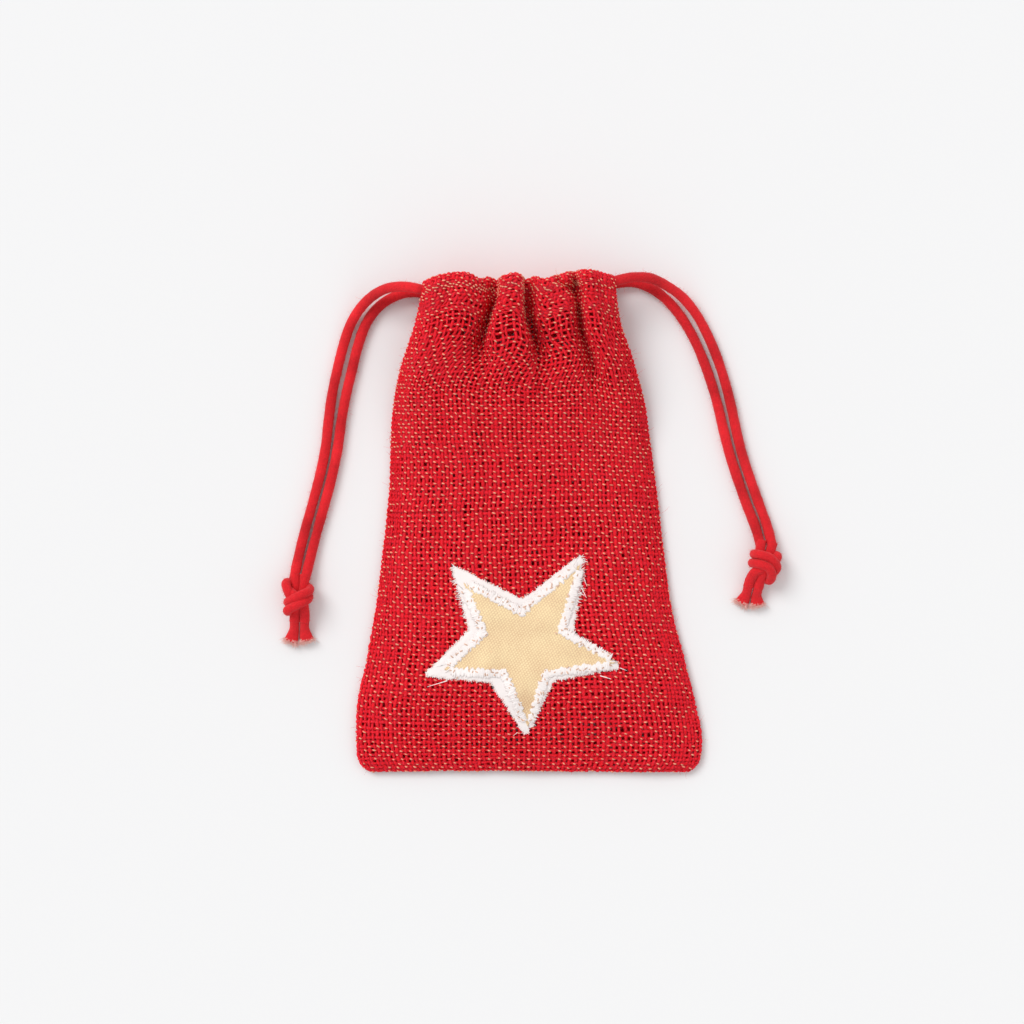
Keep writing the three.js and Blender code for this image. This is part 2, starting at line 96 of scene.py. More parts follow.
# Folds at the mouth: y and x of points down each valley, its depth, its width on the left and on the right,
# and the y where it starts and where it is at full depth
VALLEYS = [
    {"line": [(76, -9.4), (66, -9.8), (60.5, -11.6), (53.6, -13.4), (47, -13.6), (36, -12.6)],
     "depth": 11.5, "left": 2.2, "right": 1.1, "start": 40, "full": 62},
    {"line": [(76, -10.4), (66, -10.8), (60.5, -12.6), (53.6, -14.4), (47, -14.2), (36, -13.2)],
     "depth": 4.2, "left": 7.0, "right": 2.4, "start": 16, "full": 66},
    {"line": [(76, -1.2), (60.5, -1.0), (53.6, 1.0), (46, 2.2), (36, 3.2)],
     "depth": 15.0, "left": 0.9, "right": 2.3, "start": 42, "full": 62},
    {"line": [(76, -0.4), (60.5, 0.2), (53.6, 2.6), (46, 3.4), (36, 4.2)],
     "depth": 4.6, "left": 1.6, "right": 8.0, "start": 18, "full": 64},
    {"line": [(76, 12.4), (69.7, 14.0), (55.4, 15.9), (49, 18.2), (39.8, 21.0), (28, 24.0)],
     "depth": 10.0, "left": 1.7, "right": 1.2, "start": 34, "full": 60},
    {"line": [(76, 12.4), (69.7, 14.0), (55.4, 15.9), (49, 18.2), (39.8, 21.0), (28, 24.0)],
     "depth": 3.0, "left": 3.6, "right": 2.6, "start": 10, "full": 56},
    {"line": [(77, 3.6), (73.5, 4.9), (71, 7.4), (68, 12.4), (64, 13.6)],
     "depth": 6.0, "left": 1.8, "right": 1.8, "start": 64, "full": 70},
    {"line": [(77, -15.0), (72, -14.4), (66, -12.2), (60, -11.6)],
     "depth": 5.0, "left": 1.4, "right": 1.6, "start": 63, "full": 72},
    {"line": [(76, -22.0), (66, -24.0), (56, -27.0), (40, -30.0)],
     "depth": 2.2, "left": 3.0, "right": 3.0, "start": 36, "full": 66},
    {"line": [(76, 20.2), (66, 21.4), (54, 24.6), (40, 29.0)],
     "depth": 2.4, "left": 2.0, "right": 2.0, "start": 32, "full": 64},
]

# Star patch, as x and y of tips and notches
STAR_MIDDLE = (-1.8, -37.4)
BACKING_OUTLINE = [
    (-23.2, -12.9), (-2.0, -23.5), (16.0, -9.8), (13.1, -33.4), (27.5, -43.5),
    (7.2, -47.4), (-0.9, -64.4), (-11.3, -47.9), (-31.5, -46.1), (-17.7, -32.5),
]
FACE_OUTLINE = [
    (-18.1, -19.9), (-2.0, -28.3), (14.0, -14.6), (8.5, -33.2), (23.7, -41.9),
    (4.4, -44.4), (-0.5, -59.3), (-6.7, -44.4), (-23.4, -43.7), (-12.2, -33.6),
]

# Free ends of the cords, from the mouth down to the knots
ROUTES = {
    "left_cord_upper_strand": [
        (-30.5, 68.0, 12.9), (-36.5, 69.2, 12.1), (-41.8, 69.0, 9.8), (-46.4, 67.0, 6.6), (-50.4, 63.4, 3.8),
        (-53.4, 58.6, 2.1), (-55.4, 53.0, 1.6), (-57.2, 46.0, 1.55), (-58.9, 38.0, 1.55), (-60.0, 30.0, 1.55),
        (-60.9, 22.0, 1.55), (-62.5, 14.0, 1.55), (-64.6, 6.0, 1.55), (-66.8, -2.0, 1.55), (-68.8, -10.0, 1.9),
        (-70.3, -17.5, 3.2),
    ],
    "left_cord_lower_strand": [
        (-30.5, 68.0, 2.6), (-36.0, 68.2, 2.3), (-41.0, 66.7, 1.8), (-45.4, 63.6, 1.55), (-48.7, 59.0, 1.55),
        (-51.0, 53.0, 1.55), (-52.9, 45.5, 1.55), (-54.8, 37.5, 1.55), (-56.2, 29.7, 1.55), (-57.3, 21.6, 1.55),
        (-59.0, 13.3, 1.55), (-61.1, 5.2, 1.55), (-63.3, -2.8, 1.55), (-65.3, -10.6, 1.9), (-66.9, -17.5, 3.2),
    ],
    "right_cord_upper_strand": [
        (25.1, 70.8, 12.9), (30.8, 72.0, 12.2), (36.2, 71.8, 10.0), (41.2, 69.7, 6.9), (45.8, 66.6, 4.2),
        (49.8, 62.0, 2.4), (53.0, 56.4, 1.7), (55.8, 50.0, 1.55), (58.2, 43.0, 1.55), (60.2, 35.5, 1.55),
        (61.8, 28.0, 1.55), (63.6, 20.5, 1.55), (66.0, 13.0, 1.55), (68.6, 5.6, 1.6), (71.2, -1.6, 2.0),
        (72.7, -7.9, 3.2),
    ],
    "right_cord_lower_strand": [
        (25.1, 70.8, 2.6), (30.6, 71.3, 2.3), (36.0, 69.8, 1.8), (40.8, 66.4, 1.55), (44.8, 61.9, 1.55),
        (48.2, 56.6, 1.55), (51.2, 50.4, 1.55), (53.9, 43.2, 1.55), (56.2, 35.6, 1.55), (58.1, 27.6, 1.55),
        (60.2, 19.4, 1.55), (62.6, 12.0, 1.55), (65.2, 4.6, 1.6), (67.8, -2.2, 2.0), (69.2, -7.5, 3.2),
    ],
}
KNOTS = {
    "left": {"entry": (-68.6, -17.2), "exit": (-69.2, -29.9), "flip": 1, "tail": 6.4, "lean": 0.6},
    "right": {"entry": (70.9, -7.6), "exit": (68.4, -20.4), "flip": -1, "tail": 5.2, "lean": -1.5},
}
KNOT_Z = 4.7
CORD_SHIFT = 1.0
BACK_RUN_SHIFT = 1.2

# Overhand knots: middle line of the two strands from entry to exit, as across, along and up, then the
# offset of one strand from it
KNOT_LINES = {
    "left": [
        ((0.0, -1.2, -1.3), (1.5, 0.0, 0.0)), ((0.2, 2.0, -1.0), (1.3, 0.0, 0.1)),
        ((0.0, 5.0, -1.2), (1.1, 0.2, 0.3)), ((-1.0, 7.4, -1.6), (0.9, 0.8, 0.3)),
        ((-2.7, 8.6, -0.4), (0.2, 1.3, 0.0)), ((-2.6, 8.2, 1.9), (-0.2, 1.4, 0.2)),
        ((-0.6, 7.0, 3.1), (-0.3, 1.4, 0.0)), ((1.8, 5.7, 2.9), (-0.3, 1.4, 0.0)),
        ((3.1, 4.8, 0.9), (-0.2, 1.3, 0.1)), ((2.8, 3.9, -1.7), (0.1, 1.2, 0.0)),
        ((0.4, 3.2, -3.0), (0.1, 1.2, 0.0)), ((-2.4, 2.8, -2.0), (0.2, 1.3, 0.0)),
        ((-3.1, 3.0, 0.5), (0.7, 1.2, 0.2)), ((-1.8, 4.8, 1.8), (1.1, 0.6, 0.2)),
        ((0.2, 7.4, 0.9), (1.3, 0.1, 0.0)), ((0.6, 10.4, -0.6), (1.45, 0.0, 0.0)),
        ((0.6, 13.0, -1.5), (1.5, 0.0, 0.0)),
    ],
    "right": [
        ((0.0, -1.4, -1.4), (1.75, 0.0, 0.0)), ((0.1, 1.8, -0.9), (1.5, 0.0, 0.1)),
        ((-0.2, 4.6, -1.4), (1.2, 0.2, 0.3)), ((-1.2, 7.4, -1.8), (0.8, 0.8, 0.3)),
        ((-2.9, 8.6, -0.6), (0.3, 1.3, 0.2)), ((-3.5, 6.9, 1.6), (0.5, 1.3, 0.4)),
        ((-1.7, 4.9, 3.1), (0.1, 1.4, 0.1)), ((1.2, 4.3, 3.1), (0.0, 1.4, 0.0)),
        ((3.1, 4.4, 1.1), (0.0, 1.4, 0.0)), ((2.8, 4.4, -1.7), (0.0, 1.3, 0.0)),
        ((0.2, 4.0, -3.0), (0.0, 1.2, 0.0)), ((-2.6, 3.6, -2.1), (0.1, 1.3, 0.0)),
        ((-3.3, 3.8, 0.2), (0.4, 1.3, 0.2)), ((-1.7, 5.6, 1.5), (1.0, 0.8, 0.2)),
        ((0.6, 8.0, 0.9), (1.3, 0.2, 0.0)), ((1.3, 10.4, -0.6), (1.45, 0.1, 0.0)),
        ((1.5, 13.0, -1.5), (1.5, 0.1, 0.0)),
    ],
}

SIDES_OF_SACK = {"left": -1, "right": 1}


# ---------------------------------------------------------------------------------------------- sizes and colours

class SackSizes(bpy.types.PropertyGroup):
    """Sizes that a user would change."""
    warps: IntProperty(name="Warps", description="Yarns across each side of the sack", default=72, min=20, max=120)
    yarn_width: FloatProperty(name="Yarn width", description="Width of a yarn of the cloth", default=0.00116,
                              unit="LENGTH")
    yarn_height: FloatProperty(name="Yarn height", description="Thickness of a yarn of the cloth", default=0.00066,
                               unit="LENGTH")
    crimp: FloatProperty(name="Crimp", description="How far a yarn goes over and under its neighbours",
                         default=0.00028, unit="LENGTH")
    cord: FloatProperty(name="Cord diameter", description="Diameter of the drawcords", default=0.003, unit="LENGTH")


class SackColours(bpy.types.PropertyGroup):
    """Colours that a user would change, as linear red, green and blue."""
    cloth: FloatVectorProperty(name="Cloth", description="Red of the sack's yarns", subtype="COLOR", size=4,
                               default=(0.97, 0.016, 0.032, 1), min=0, max=1)
    gold_strand: FloatVectorProperty(name="Gold strand", description="Glittering strand along the yarns",
                                     subtype="COLOR", size=4, default=(1.0, 0.43, 0.27, 1), min=0, max=1)
    cord: FloatVectorProperty(name="Cord", description="Red of the drawcords", subtype="COLOR", size=4,
                              default=(0.80, 0.018, 0.026, 1), min=0, max=1)
    white: FloatVectorProperty(name="White", description="White of the frayed star", subtype="COLOR", size=4,
                               default=(0.93, 0.86, 0.84, 1), min=0, max=1)
    gold: FloatVectorProperty(name="Gold", description="Pale gold of the star's face", subtype="COLOR", size=4,
                              default=(1.0, 0.59, 0.35, 1), min=0, max=1)


def sizes():
    return bpy.context.scene.gift_sack_sizes


def colours():
    return bpy.context.scene.gift_sack_colours


# ---------------------------------------------------------------------------------------------- shape functions

def smoothstep(low, high, value):
    """Smooth step from 0 at low to 1 at high: t squared times three minus two t."""
    t = np.clip((value - low) / (high - low), 0, 1)
    return t * t * (3 - 2 * t)


def curve_through(points, steps=24):
    """Smooth curve through the points: centripetal Catmull-Rom, steps samples to each stretch."""
    p = np.asarray(points, float)
    p = np.vstack([2 * p[0] - p[1], p, 2 * p[-1] - p[-2]])
    a, b, c, d = p[:-3], p[1:-2], p[2:-1], p[3:]
    k1, k2, k3 = (np.sqrt(np.linalg.norm(q - r, axis=1))[:, None] for q, r in ((b, a), (c, b), (d, c)))
    m1 = (b - a) / k1 - (c - a) / (k1 + k2) + (c - b) / k2
    m2 = (c - b) / k2 - (d - b) / (k2 + k3) + (d - c) / k3
    m1, m2 = (m * k2 for m in (m1, m2))
    t = np.arange(steps)[None, :, None] / steps
    h = [2 * t**3 - 3 * t**2 + 1, t**3 - 2 * t**2 + t, -2 * t**3 + 3 * t**2, t**3 - t**2]
    line = h[0] * b[:, None] + h[1] * m1[:, None] + h[2] * c[:, None] + h[3] * m2[:, None]
    return np.vstack([line.reshape(-1, p.shape[1]), p[-2:-1]])


def along(points, value):
    """Second coordinate of a smooth curve through the points, at a value of the first one, which rises."""
    line = curve_through(sorted(points))
    return np.interp(value, line[:, 0], line[:, 1])


def sack_sides(y):
    """x of the left and right sides at height y, drawn in round the bottom corners by a quarter circle."""
    short = np.clip(CORNER_RADIUS - (y - BOTTOM), 0, CORNER_RADIUS)
    drawn_in = CORNER_RADIUS - np.sqrt(CORNER_RADIUS**2 - short**2)
    return along(LEFT_SIDE, y) + drawn_in, along(RIGHT_SIDE, y) - drawn_in


def seam_height(y):
    """Height of the side seam: near the floor along the body, climbing to the middle of the mouth."""
    return 1.45 + 6.2 * smoothstep(18, 60, y)


def rounded(distance, reach):
    """Quarter ellipse: 0 at the edge, 1 from reach inwards."""
    return np.sqrt(1 - (1 - np.clip(distance / reach, 0, 1)) ** 2)


def slow_noise(x, y, seed, size):
    """Gentle bumps from -1 to 1: six sine waves in seeded directions, about size across."""
    rng = np.random.RandomState(seed)
    total = 0
    for _ in range(6):
        angle, phase, stretch = rng.uniform(0, math.tau), rng.uniform(0, math.tau), rng.uniform(0.7, 1.5)
        total = total + np.sin((x * math.cos(angle) + y * math.sin(angle)) * math.tau / (size * stretch) + phase)
    return total / 3.4


def sag_share(x):
    """How much of their sag the cords in the casing have at x: none near either end, all in between."""
    return smoothstep(-26.5, -18.5, x) * (1 - smoothstep(12.5, 20.5, x))


def soft_floor(height, floor):
    """Height kept above a floor, with a rounded turn."""
    return floor + 0.8 * np.log1p(np.exp(np.clip((height - floor) / 0.8, -30, 30)))


def front_height(x, y):
    """Middle height of the front cloth: a domed pillow that climbs to the mouth, less the valleys of its folds.

    Each valley is a bell across its line, whose depth grows from its lower end to the mouth. In the casing
    the bells stop above the cord."""
    left, right = sack_sides(y)
    middle, half = (left + right) / 2, (right - left) / 2
    u = np.clip((x - middle) / half, -1, 1)
    climb = 9.4 * smoothstep(14, 60, y)
    puff = 6.6 * smoothstep(BOTTOM - 3, -45, y) * (1 - 0.8 * smoothstep(25, 62, y))
    crown = 3.2 + climb + puff * (1 - np.abs(u) ** 3)
    lobes = 7.6 * smoothstep(26, 66, y) * (1 - np.abs(u) ** 6 * 0.5)
    crown = crown + lobes + 0.45 * slow_noise(x, y, 3, 34) + 0.25 * slow_noise(x, y, 4, 13)
    depth = 0
    for valley in VALLEYS:
        away = x - along(valley["line"], y)
        strength = smoothstep(valley["start"], valley["full"], y)
        width = np.where(away < 0, valley["left"], valley["right"]) * (1 + 1.3 * (1 - strength))
        depth = depth + valley["depth"] * strength * np.exp(-((away / width) ** 2))
    body = crown - depth
    held = soft_floor(body, CORD_TOP_CLEAR - RUN_SAG * sag_share(x))
    casing = smoothstep(60.5, 65.0, y)
    body = body * (1 - casing) + held * casing
    body = np.maximum(body, seam_height(y) + 1.5)
    edge = seam_height(y) * (1 - smoothstep(60, 65, y)) + 13.4 * smoothstep(60, 65, y)
    inwards = np.minimum(x - left, right - x)
    bottom = np.clip(y - BOTTOM, 0, None)
    lift = rounded(inwards, 6.5) * rounded(bottom + 0.01, 6.0)
    low = np.where(edge < body, edge, body)
    return low + (body - low) * lift


def back_height(x, y):
    """Middle height of the back cloth: flat on the floor, curling up to the side seams."""
    left, right = sack_sides(y)
    edge = seam_height(y) - 0.5
    slit = smoothstep(60, 65, y)
    edge = edge * (1 - slit) + 1.6 * slit
    inwards = np.minimum(x - left, right - x)
    ripple = 0.35 * (1 + slow_noise(x, y * 0.25, 9, 9)) * smoothstep(20, 64, y)
    flat = 0.56 + np.clip(ripple, 0, 0.9) * rounded(inwards, 8)
    return flat + (np.maximum(edge, flat) - flat) * (1 - rounded(inwards, 5.0))


def sheet_grid(height, edge_points, inner_height, outer_length, fold, inner):
    """Dense grid of a cloth's middle surface, rows along its length and columns at equal arc lengths across.

    Outer rows follow height(x, y) up to the mouth's edge, the fold is half an ellipse over to inner_height,
    and the inner rows come straight back. Columns are packed closer in a band along each side."""
    fine = np.linspace(0, 1, 900)
    shares = np.linspace(0, 1, 420)
    rows = []
    for s in np.append(np.arange(0, outer_length, 0.5), outer_length):
        y_middle = BOTTOM + s / outer_length * (along(edge_points, MOUTH_MIDDLE) - FOLD_REACH - BOTTOM)
        left, right = sack_sides(y_middle)
        x = left + (right - left) * fine
        top = along(edge_points, x) - FOLD_REACH
        y = BOTTOM + s / outer_length * (top - BOTTOM)
        y = y_middle + (y - y_middle) * smoothstep(20, 60, y_middle)
        z = height(x, y)
        y = y + 0.42 * slow_noise(x, 0.0, 27, 52) * (1 - smoothstep(BOTTOM, -52, y_middle))
        band = np.exp(-(((x - left) / 4.0) ** 2)) + 0.5 * np.exp(-(((right - x) / 3.0) ** 2))
        u = 2 * fine - 1
        density = 1 + 0.35 * u**2 + 0.9 * smoothstep(-40, 0, y_middle) * band
        step = np.sqrt(np.diff(x) ** 2 + np.diff(y) ** 2 + np.diff(z) ** 2) * (density[1:] + density[:-1]) / 2
        arc = np.append(0, np.cumsum(step))
        rows.append([np.interp(shares, arc / arc[-1], v) for v in (x, y, z)])
    grid = np.array(rows).transpose(0, 2, 1)
    last = grid[-1]
    turn = np.linspace(0, math.pi, max(8, int(fold / 0.5)))[1:]
    inner_height = inner_height(last[:, 0])
    middle, radius = (last[:, 2] + inner_height) / 2, (last[:, 2] - inner_height) / 2
    folded = np.stack([np.broadcast_to(last[:, 0], (len(turn), 420)),
                       last[:, 1] + FOLD_REACH * np.sin(turn)[:, None],
                       middle + radius * np.cos(turn)[:, None]], 2)
    back = np.arange(0.5, inner + 0.01, 0.5)[:, None]
    returned = np.stack([np.broadcast_to(last[:, 0], (len(back), 420)),
                         last[:, 1] - back,
                         np.broadcast_to(folded[-1, :, 2], (len(back), 420))], 2)
    return np.concatenate([grid, folded, returned])


class Cloth:
    """A cloth's middle surface as a grid, read by share across (0 to 1) and grid row, with its normals."""

    def __init__(self, grid, flip):
        self.grid = grid
        down, across = np.gradient(grid, axis=0), np.gradient(grid, axis=1)
        normal = np.cross(across, down) * flip
        self.normal = normal / np.maximum(np.linalg.norm(normal, axis=2, keepdims=True), 1e-9)
        steps = np.linalg.norm(np.diff(grid[:, grid.shape[1] // 2], axis=0), axis=1)
        self.length = np.append(0, np.cumsum(steps))

    def row(self, length):
        """Grid row at a length along the cloth's middle."""
        return np.interp(length, self.length, np.arange(len(self.length)))

    def read(self, share, row):
        """Points and normals at arrays of shares and rows, by bilinear reading of the grid."""
        i = np.clip(row, 0, len(self.grid) - 1.001)
        j = np.clip(share, 0, 1) * (self.grid.shape[1] - 1.001)
        i0, j0 = i.astype(int), j.astype(int)
        fi, fj = (i - i0)[..., None], (j - j0)[..., None]
        found = []
        for table in (self.grid, self.normal):
            low = table[i0, j0] * (1 - fj) + table[i0, j0 + 1] * fj
            high = table[i0 + 1, j0] * (1 - fj) + table[i0 + 1, j0 + 1] * fj
            found.append(low * (1 - fi) + high * fi)
        return found


# ---------------------------------------------------------------------------------------------- meshes

def new_piece(name, points, loops, starts, uv=None, tone=None, smooth=True):
    """A mesh object from flat arrays: points in millimetres, loops of point numbers, start of each face."""
    mesh = bpy.data.meshes.new(name)
    mesh.vertices.add(len(points))
    mesh.vertices.foreach_set("co", (np.asarray(points, np.float32) * MM).ravel())
    mesh.loops.add(len(loops))
    mesh.loops.foreach_set("vertex_index", np.asarray(loops, np.int32))
    mesh.polygons.add(len(starts))
    mesh.polygons.foreach_set("loop_start", np.asarray(starts, np.int32))
    mesh.polygons.foreach_set("use_smooth", np.full(len(starts), smooth))
    if uv is not None:
        layer = mesh.uv_layers.new(name="Along")
        layer.data.foreach_set("uv", np.asarray(uv, np.float32).ravel())
    if tone is not None:
        attribute = mesh.attributes.new("tone", "FLOAT", "POINT")
        attribute.data.foreach_set("value", np.asarray(tone, np.float32))
    mesh.update(calc_edges=True)
    mesh.validate()
    piece = bpy.data.objects.new(name, mesh)
    bpy.context.collection.objects.link(piece)
    return piece


def tube_parts(centres, side, up, half_width, half_height, sides, tone):
    """Closed tubes along many lines at once.

    A ring's point k is the centre plus cos(angle k) half widths sideways and sin(angle k) half heights up.
    Lines are an array of (lines, rings, 3). Returns points, loops, starts, uv and tone for new_piece."""
    lines, rings = centres.shape[:2]
    angle = (np.arange(sides) + 0.5) / sides * math.tau
    ring = (np.cos(angle)[:, None] * side[:, :, None] * half_width[:, :, None, None]
            + np.sin(angle)[:, None] * up[:, :, None] * half_height[:, :, None, None])
    points = (centres[:, :, None] + ring).reshape(-1, 3)
    at = np.arange(lines * rings * sides).reshape(lines, rings, sides)
    turned = np.roll(at, -1, axis=2)
    quads = np.stack([at[:, :-1], at[:, 1:], turned[:, 1:], turned[:, :-1]], -1)
    length = np.append(np.zeros((lines, 1)),
                       np.cumsum(np.linalg.norm(np.diff(centres, axis=1), axis=2), axis=1), axis=1)
    u0, u1 = length[:, :-1, None], length[:, 1:, None]
    v0 = np.broadcast_to((np.arange(sides) + 0.5) / sides, (lines, rings - 1, sides))
    v1 = v0 + 1 / sides
    u0, u1 = np.broadcast_to(u0, v0.shape), np.broadcast_to(u1, v0.shape)
    corners = ((u0, v0), (u1, v0), (u1, v1), (u0, v1))
    uv = np.stack([np.stack(corner, -1) for corner in corners], -2)
    caps = np.concatenate([at[:, 0], at[:, -1, ::-1]])
    cap_uv = np.zeros((caps.size, 2))
    loops = np.concatenate([quads.reshape(-1), caps.reshape(-1)])
    starts = np.concatenate([np.arange(quads.size // 4) * 4, quads.size + np.arange(len(caps)) * sides])
    tones = np.repeat(np.broadcast_to(tone, (lines, rings)).reshape(-1), sides)
    return points, loops, starts, np.concatenate([uv.reshape(-1, 2), cap_uv]), tones


def join_parts(parts):
    """Several sets of tube parts as one."""
    points, loops, starts, uvs, tones = [], [], [], [], []
    base = face = 0
    for p, l, s, uv, t in parts:
        points.append(p)
        loops.append(l + base)
        starts.append(s + face)
        uvs.append(uv)
        tones.append(t)
        base += len(p)
        face += len(l)
    return tuple(np.concatenate(v) for v in (points, loops, starts, uvs, tones))


def unit(v):
    return v / np.maximum(np.linalg.norm(v, axis=-1, keepdims=True), 1e-9)


def yarn_noise(rng, lines, rings, every):
    """Seeded smooth noise along each of many lines: random values every few rings, joined by cosine steps."""
    knots = rng.normal(0, 1, (lines, rings // every + 3))
    place = np.arange(rings) / every
    low = place.astype(int)
    blend = (1 - np.cos((place - low) * math.pi)) / 2
    return knots[:, low] * (1 - blend) + knots[:, low + 1] * blend


def round_tube(line, radius, sides=20, squash=1.0, tone=0.5):
    """Closed round tube along one line, its frame carried from ring to ring without twisting."""
    line = np.asarray(line, float)
    tangent = unit(np.gradient(line, axis=0))
    up = np.zeros_like(line)
    start = np.array([0.0, 0.0, 1.0])
    if abs(tangent[0, 2]) > 0.9:
        start = np.array([1.0, 0.0, 0.0])
    up[0] = start
    for k in range(len(line)):
        before = up[max(k - 1, 0)]
        up[k] = before - tangent[k] * (before @ tangent[k])
        up[k] /= np.linalg.norm(up[k])
    side = np.cross(tangent, up)
    radius = np.broadcast_to(radius, (len(line),))
    return tube_parts(line[None], side[None], up[None], radius[None], (radius * squash)[None], sides,
                      np.broadcast_to(tone, (1, len(line))))


def even_line(line, step):
    """The same line with rings at equal steps."""
    length = np.append(0, np.cumsum(np.linalg.norm(np.diff(line, axis=0), axis=1)))
    at = np.linspace(0, length[-1], max(2, int(round(length[-1] / step)) + 1))
    return np.stack([np.interp(at, length, line[:, k]) for k in range(3)], 1)


def hairs(rng, roots, directions, lengths, radius, bend, points=5, tone=None):
    """Many fine fibres: each starts at its root, goes along its direction and bends sideways by t squared."""
    count = len(roots)
    t = np.linspace(0, 1, points)[None, :, None]
    sideways = unit(np.cross(directions, rng.normal(0, 1, (count, 3))))
    curl = rng.normal(0, bend, (count, 1, 1))
    line = roots[:, None] + (directions[:, None] * t + sideways[:, None] * curl * t**2) * lengths[:, None, None]
    line[..., 2] = np.maximum(line[..., 2], radius + 0.02)
    tangent = unit(np.gradient(line, axis=1))
    side = unit(np.cross(tangent, np.broadcast_to(sideways[:, None], line.shape) + 0.01))
    up = np.cross(side, tangent)
    thick = radius * np.broadcast_to(1 - 0.6 * t[..., 0], (count, points))
    tone = rng.uniform(0.2, 0.8, (count, 1)) if tone is None else tone
    return tube_parts(line, side, up, thick, thick, 3, np.broadcast_to(tone, (count, points)))


# ---------------------------------------------------------------------------------------------- materials

def node(tree, kind, location=(0, 0), **values):
    """A shader node with its properties and named inputs set."""
    made = tree.nodes.new(kind)
    made.location = location
    for name, value in values.items():
        if name in made.inputs:
            made.inputs[name].default_value = value
        else:
            setattr(made, name, value)
    return made


def new_group(name, inputs, outputs):
    """An empty node group with float or vector inputs and outputs."""
    group = bpy.data.node_groups.new(name, "ShaderNodeTree")
    for socket, kind, value in inputs:
        made = group.interface.new_socket(socket, in_out="INPUT", socket_type=kind)
        if value is not None:
            made.default_value = value
    for socket, kind in outputs:
        group.interface.new_socket(socket, in_out="OUTPUT", socket_type=kind)
    return group, group.nodes.new("NodeGroupInput"), group.nodes.new("NodeGroupOutput")


def math_node(tree, operation, first, second=None):
    """A math node on two sockets or numbers."""
    made = tree.nodes.new("ShaderNodeMath")
    made.operation = operation
    for index, value in enumerate((first, second)):
        if value is None:
            continue
        if isinstance(value, (int, float)):
            made.inputs[index].default_value = value
        else:
            tree.links.new(value, made.inputs[index])
    return made.outputs[0]


def twisted_fibres():
    """Group: fine fibres that wind round a yarn or cord, as a wave of its length and its way round.

    Height is the sine of length times Turns plus the way round times Strands, roughened by noise. Shade is
    that height mixed with fine noise: painted shade, darker in the grooves between the wound fibres, with
    random tone from the noise. Crown is 1 along the top and the underside and 0 along both sides; it masks
    the painted shade on a yarn's sides."""
    if "Twisted fibres" in bpy.data.node_groups:
        return bpy.data.node_groups["Twisted fibres"]
    group, given, out = new_group(
        "Twisted fibres",
        [("Turns", "NodeSocketFloat", 0.8), ("Strands", "NodeSocketFloat", 4.0), ("Mess", "NodeSocketFloat", 0.6)],
        [("Height", "NodeSocketFloat"), ("Shade", "NodeSocketFloat"), ("Crown", "NodeSocketFloat")])
    links = group.links
    uv = node(group, "ShaderNodeUVMap", uv_map="Along")
    split = node(group, "ShaderNodeSeparateXYZ")
    links.new(uv.outputs[0], split.inputs[0])
    place = node(group, "ShaderNodeTexCoord")
    fuzz = node(group, "ShaderNodeTexNoise", Scale=2600.0, Detail=4.0, Roughness=0.7)
    links.new(place.outputs["Object"], fuzz.inputs["Vector"])
    rough = math_node(group, "MULTIPLY", math_node(group, "SUBTRACT", fuzz.outputs[0], 0.5), given.outputs["Mess"])
    wind = math_node(group, "ADD", math_node(group, "MULTIPLY", split.outputs[0], given.outputs["Turns"]),
                     math_node(group, "MULTIPLY", split.outputs[1], given.outputs["Strands"]))
    wave = math_node(group, "SINE", math_node(group, "MULTIPLY", math_node(group, "ADD", wind, rough), math.tau))
    height = math_node(group, "MULTIPLY", math_node(group, "ADD", wave, 1.0), 0.5)
    links.new(height, out.inputs["Height"])
    # Painted shade: the colour is darker where the wound fibres' height is low, in the grooves of the twist
    shade = math_node(group, "ADD", math_node(group, "MULTIPLY", height, 0.6),
                      math_node(group, "MULTIPLY", fuzz.outputs[0], 0.4))
    links.new(shade, out.inputs["Shade"])
    crown = math_node(group, "ABSOLUTE", math_node(group, "SINE", math_node(group, "MULTIPLY", split.outputs[1],
                                                                            math.tau)))
    links.new(crown, out.inputs["Crown"])
    return group


def mottle():
    """Group: slow and fine unevenness of a dyed cloth, from 0 to 1, in the piece's own space."""
    if "Mottle" in bpy.data.node_groups:
        return bpy.data.node_groups["Mottle"]
    group, given, out = new_group("Mottle", [("Size", "NodeSocketFloat", 120.0)], [("Shade", "NodeSocketFloat")])
    place = node(group, "ShaderNodeTexCoord")
    noise = node(group, "ShaderNodeTexNoise", Detail=4.0, Roughness=0.6)
    group.links.new(place.outputs["Object"], noise.inputs["Vector"])
    group.links.new(given.outputs["Size"], noise.inputs["Scale"])
    group.links.new(noise.outputs[0], out.inputs["Shade"])
    return group


def canvas_weave():
    """Group: a fine plain weave in the piece's X and Y, as the larger of two crossed waves. Pitch is in metres."""
    if "Canvas weave" in bpy.data.node_groups:
        return bpy.data.node_groups["Canvas weave"]
    group, given, out = new_group("Canvas weave", [("Pitch", "NodeSocketFloat", 0.0005)],
                                  [("Height", "NodeSocketFloat")])
    place = node(group, "ShaderNodeTexCoord")
    split = node(group, "ShaderNodeSeparateXYZ")
    group.links.new(place.outputs["Object"], split.inputs[0])
    u = math_node(group, "MULTIPLY", math_node(group, "DIVIDE", split.outputs[0], given.outputs["Pitch"]), math.pi)
    v = math_node(group, "MULTIPLY", math_node(group, "DIVIDE", split.outputs[1], given.outputs["Pitch"]), math.pi)
    a = math_node(group, "MULTIPLY", math_node(group, "SINE", u), math_node(group, "SINE", v))
    b = math_node(group, "ABSOLUTE", math_node(group, "COSINE", u))
    group.links.new(math_node(group, "ADD", math_node(group, "ABSOLUTE", a), math_node(group, "MULTIPLY", b, 0.4)),
                    out.inputs["Height"])
    return group


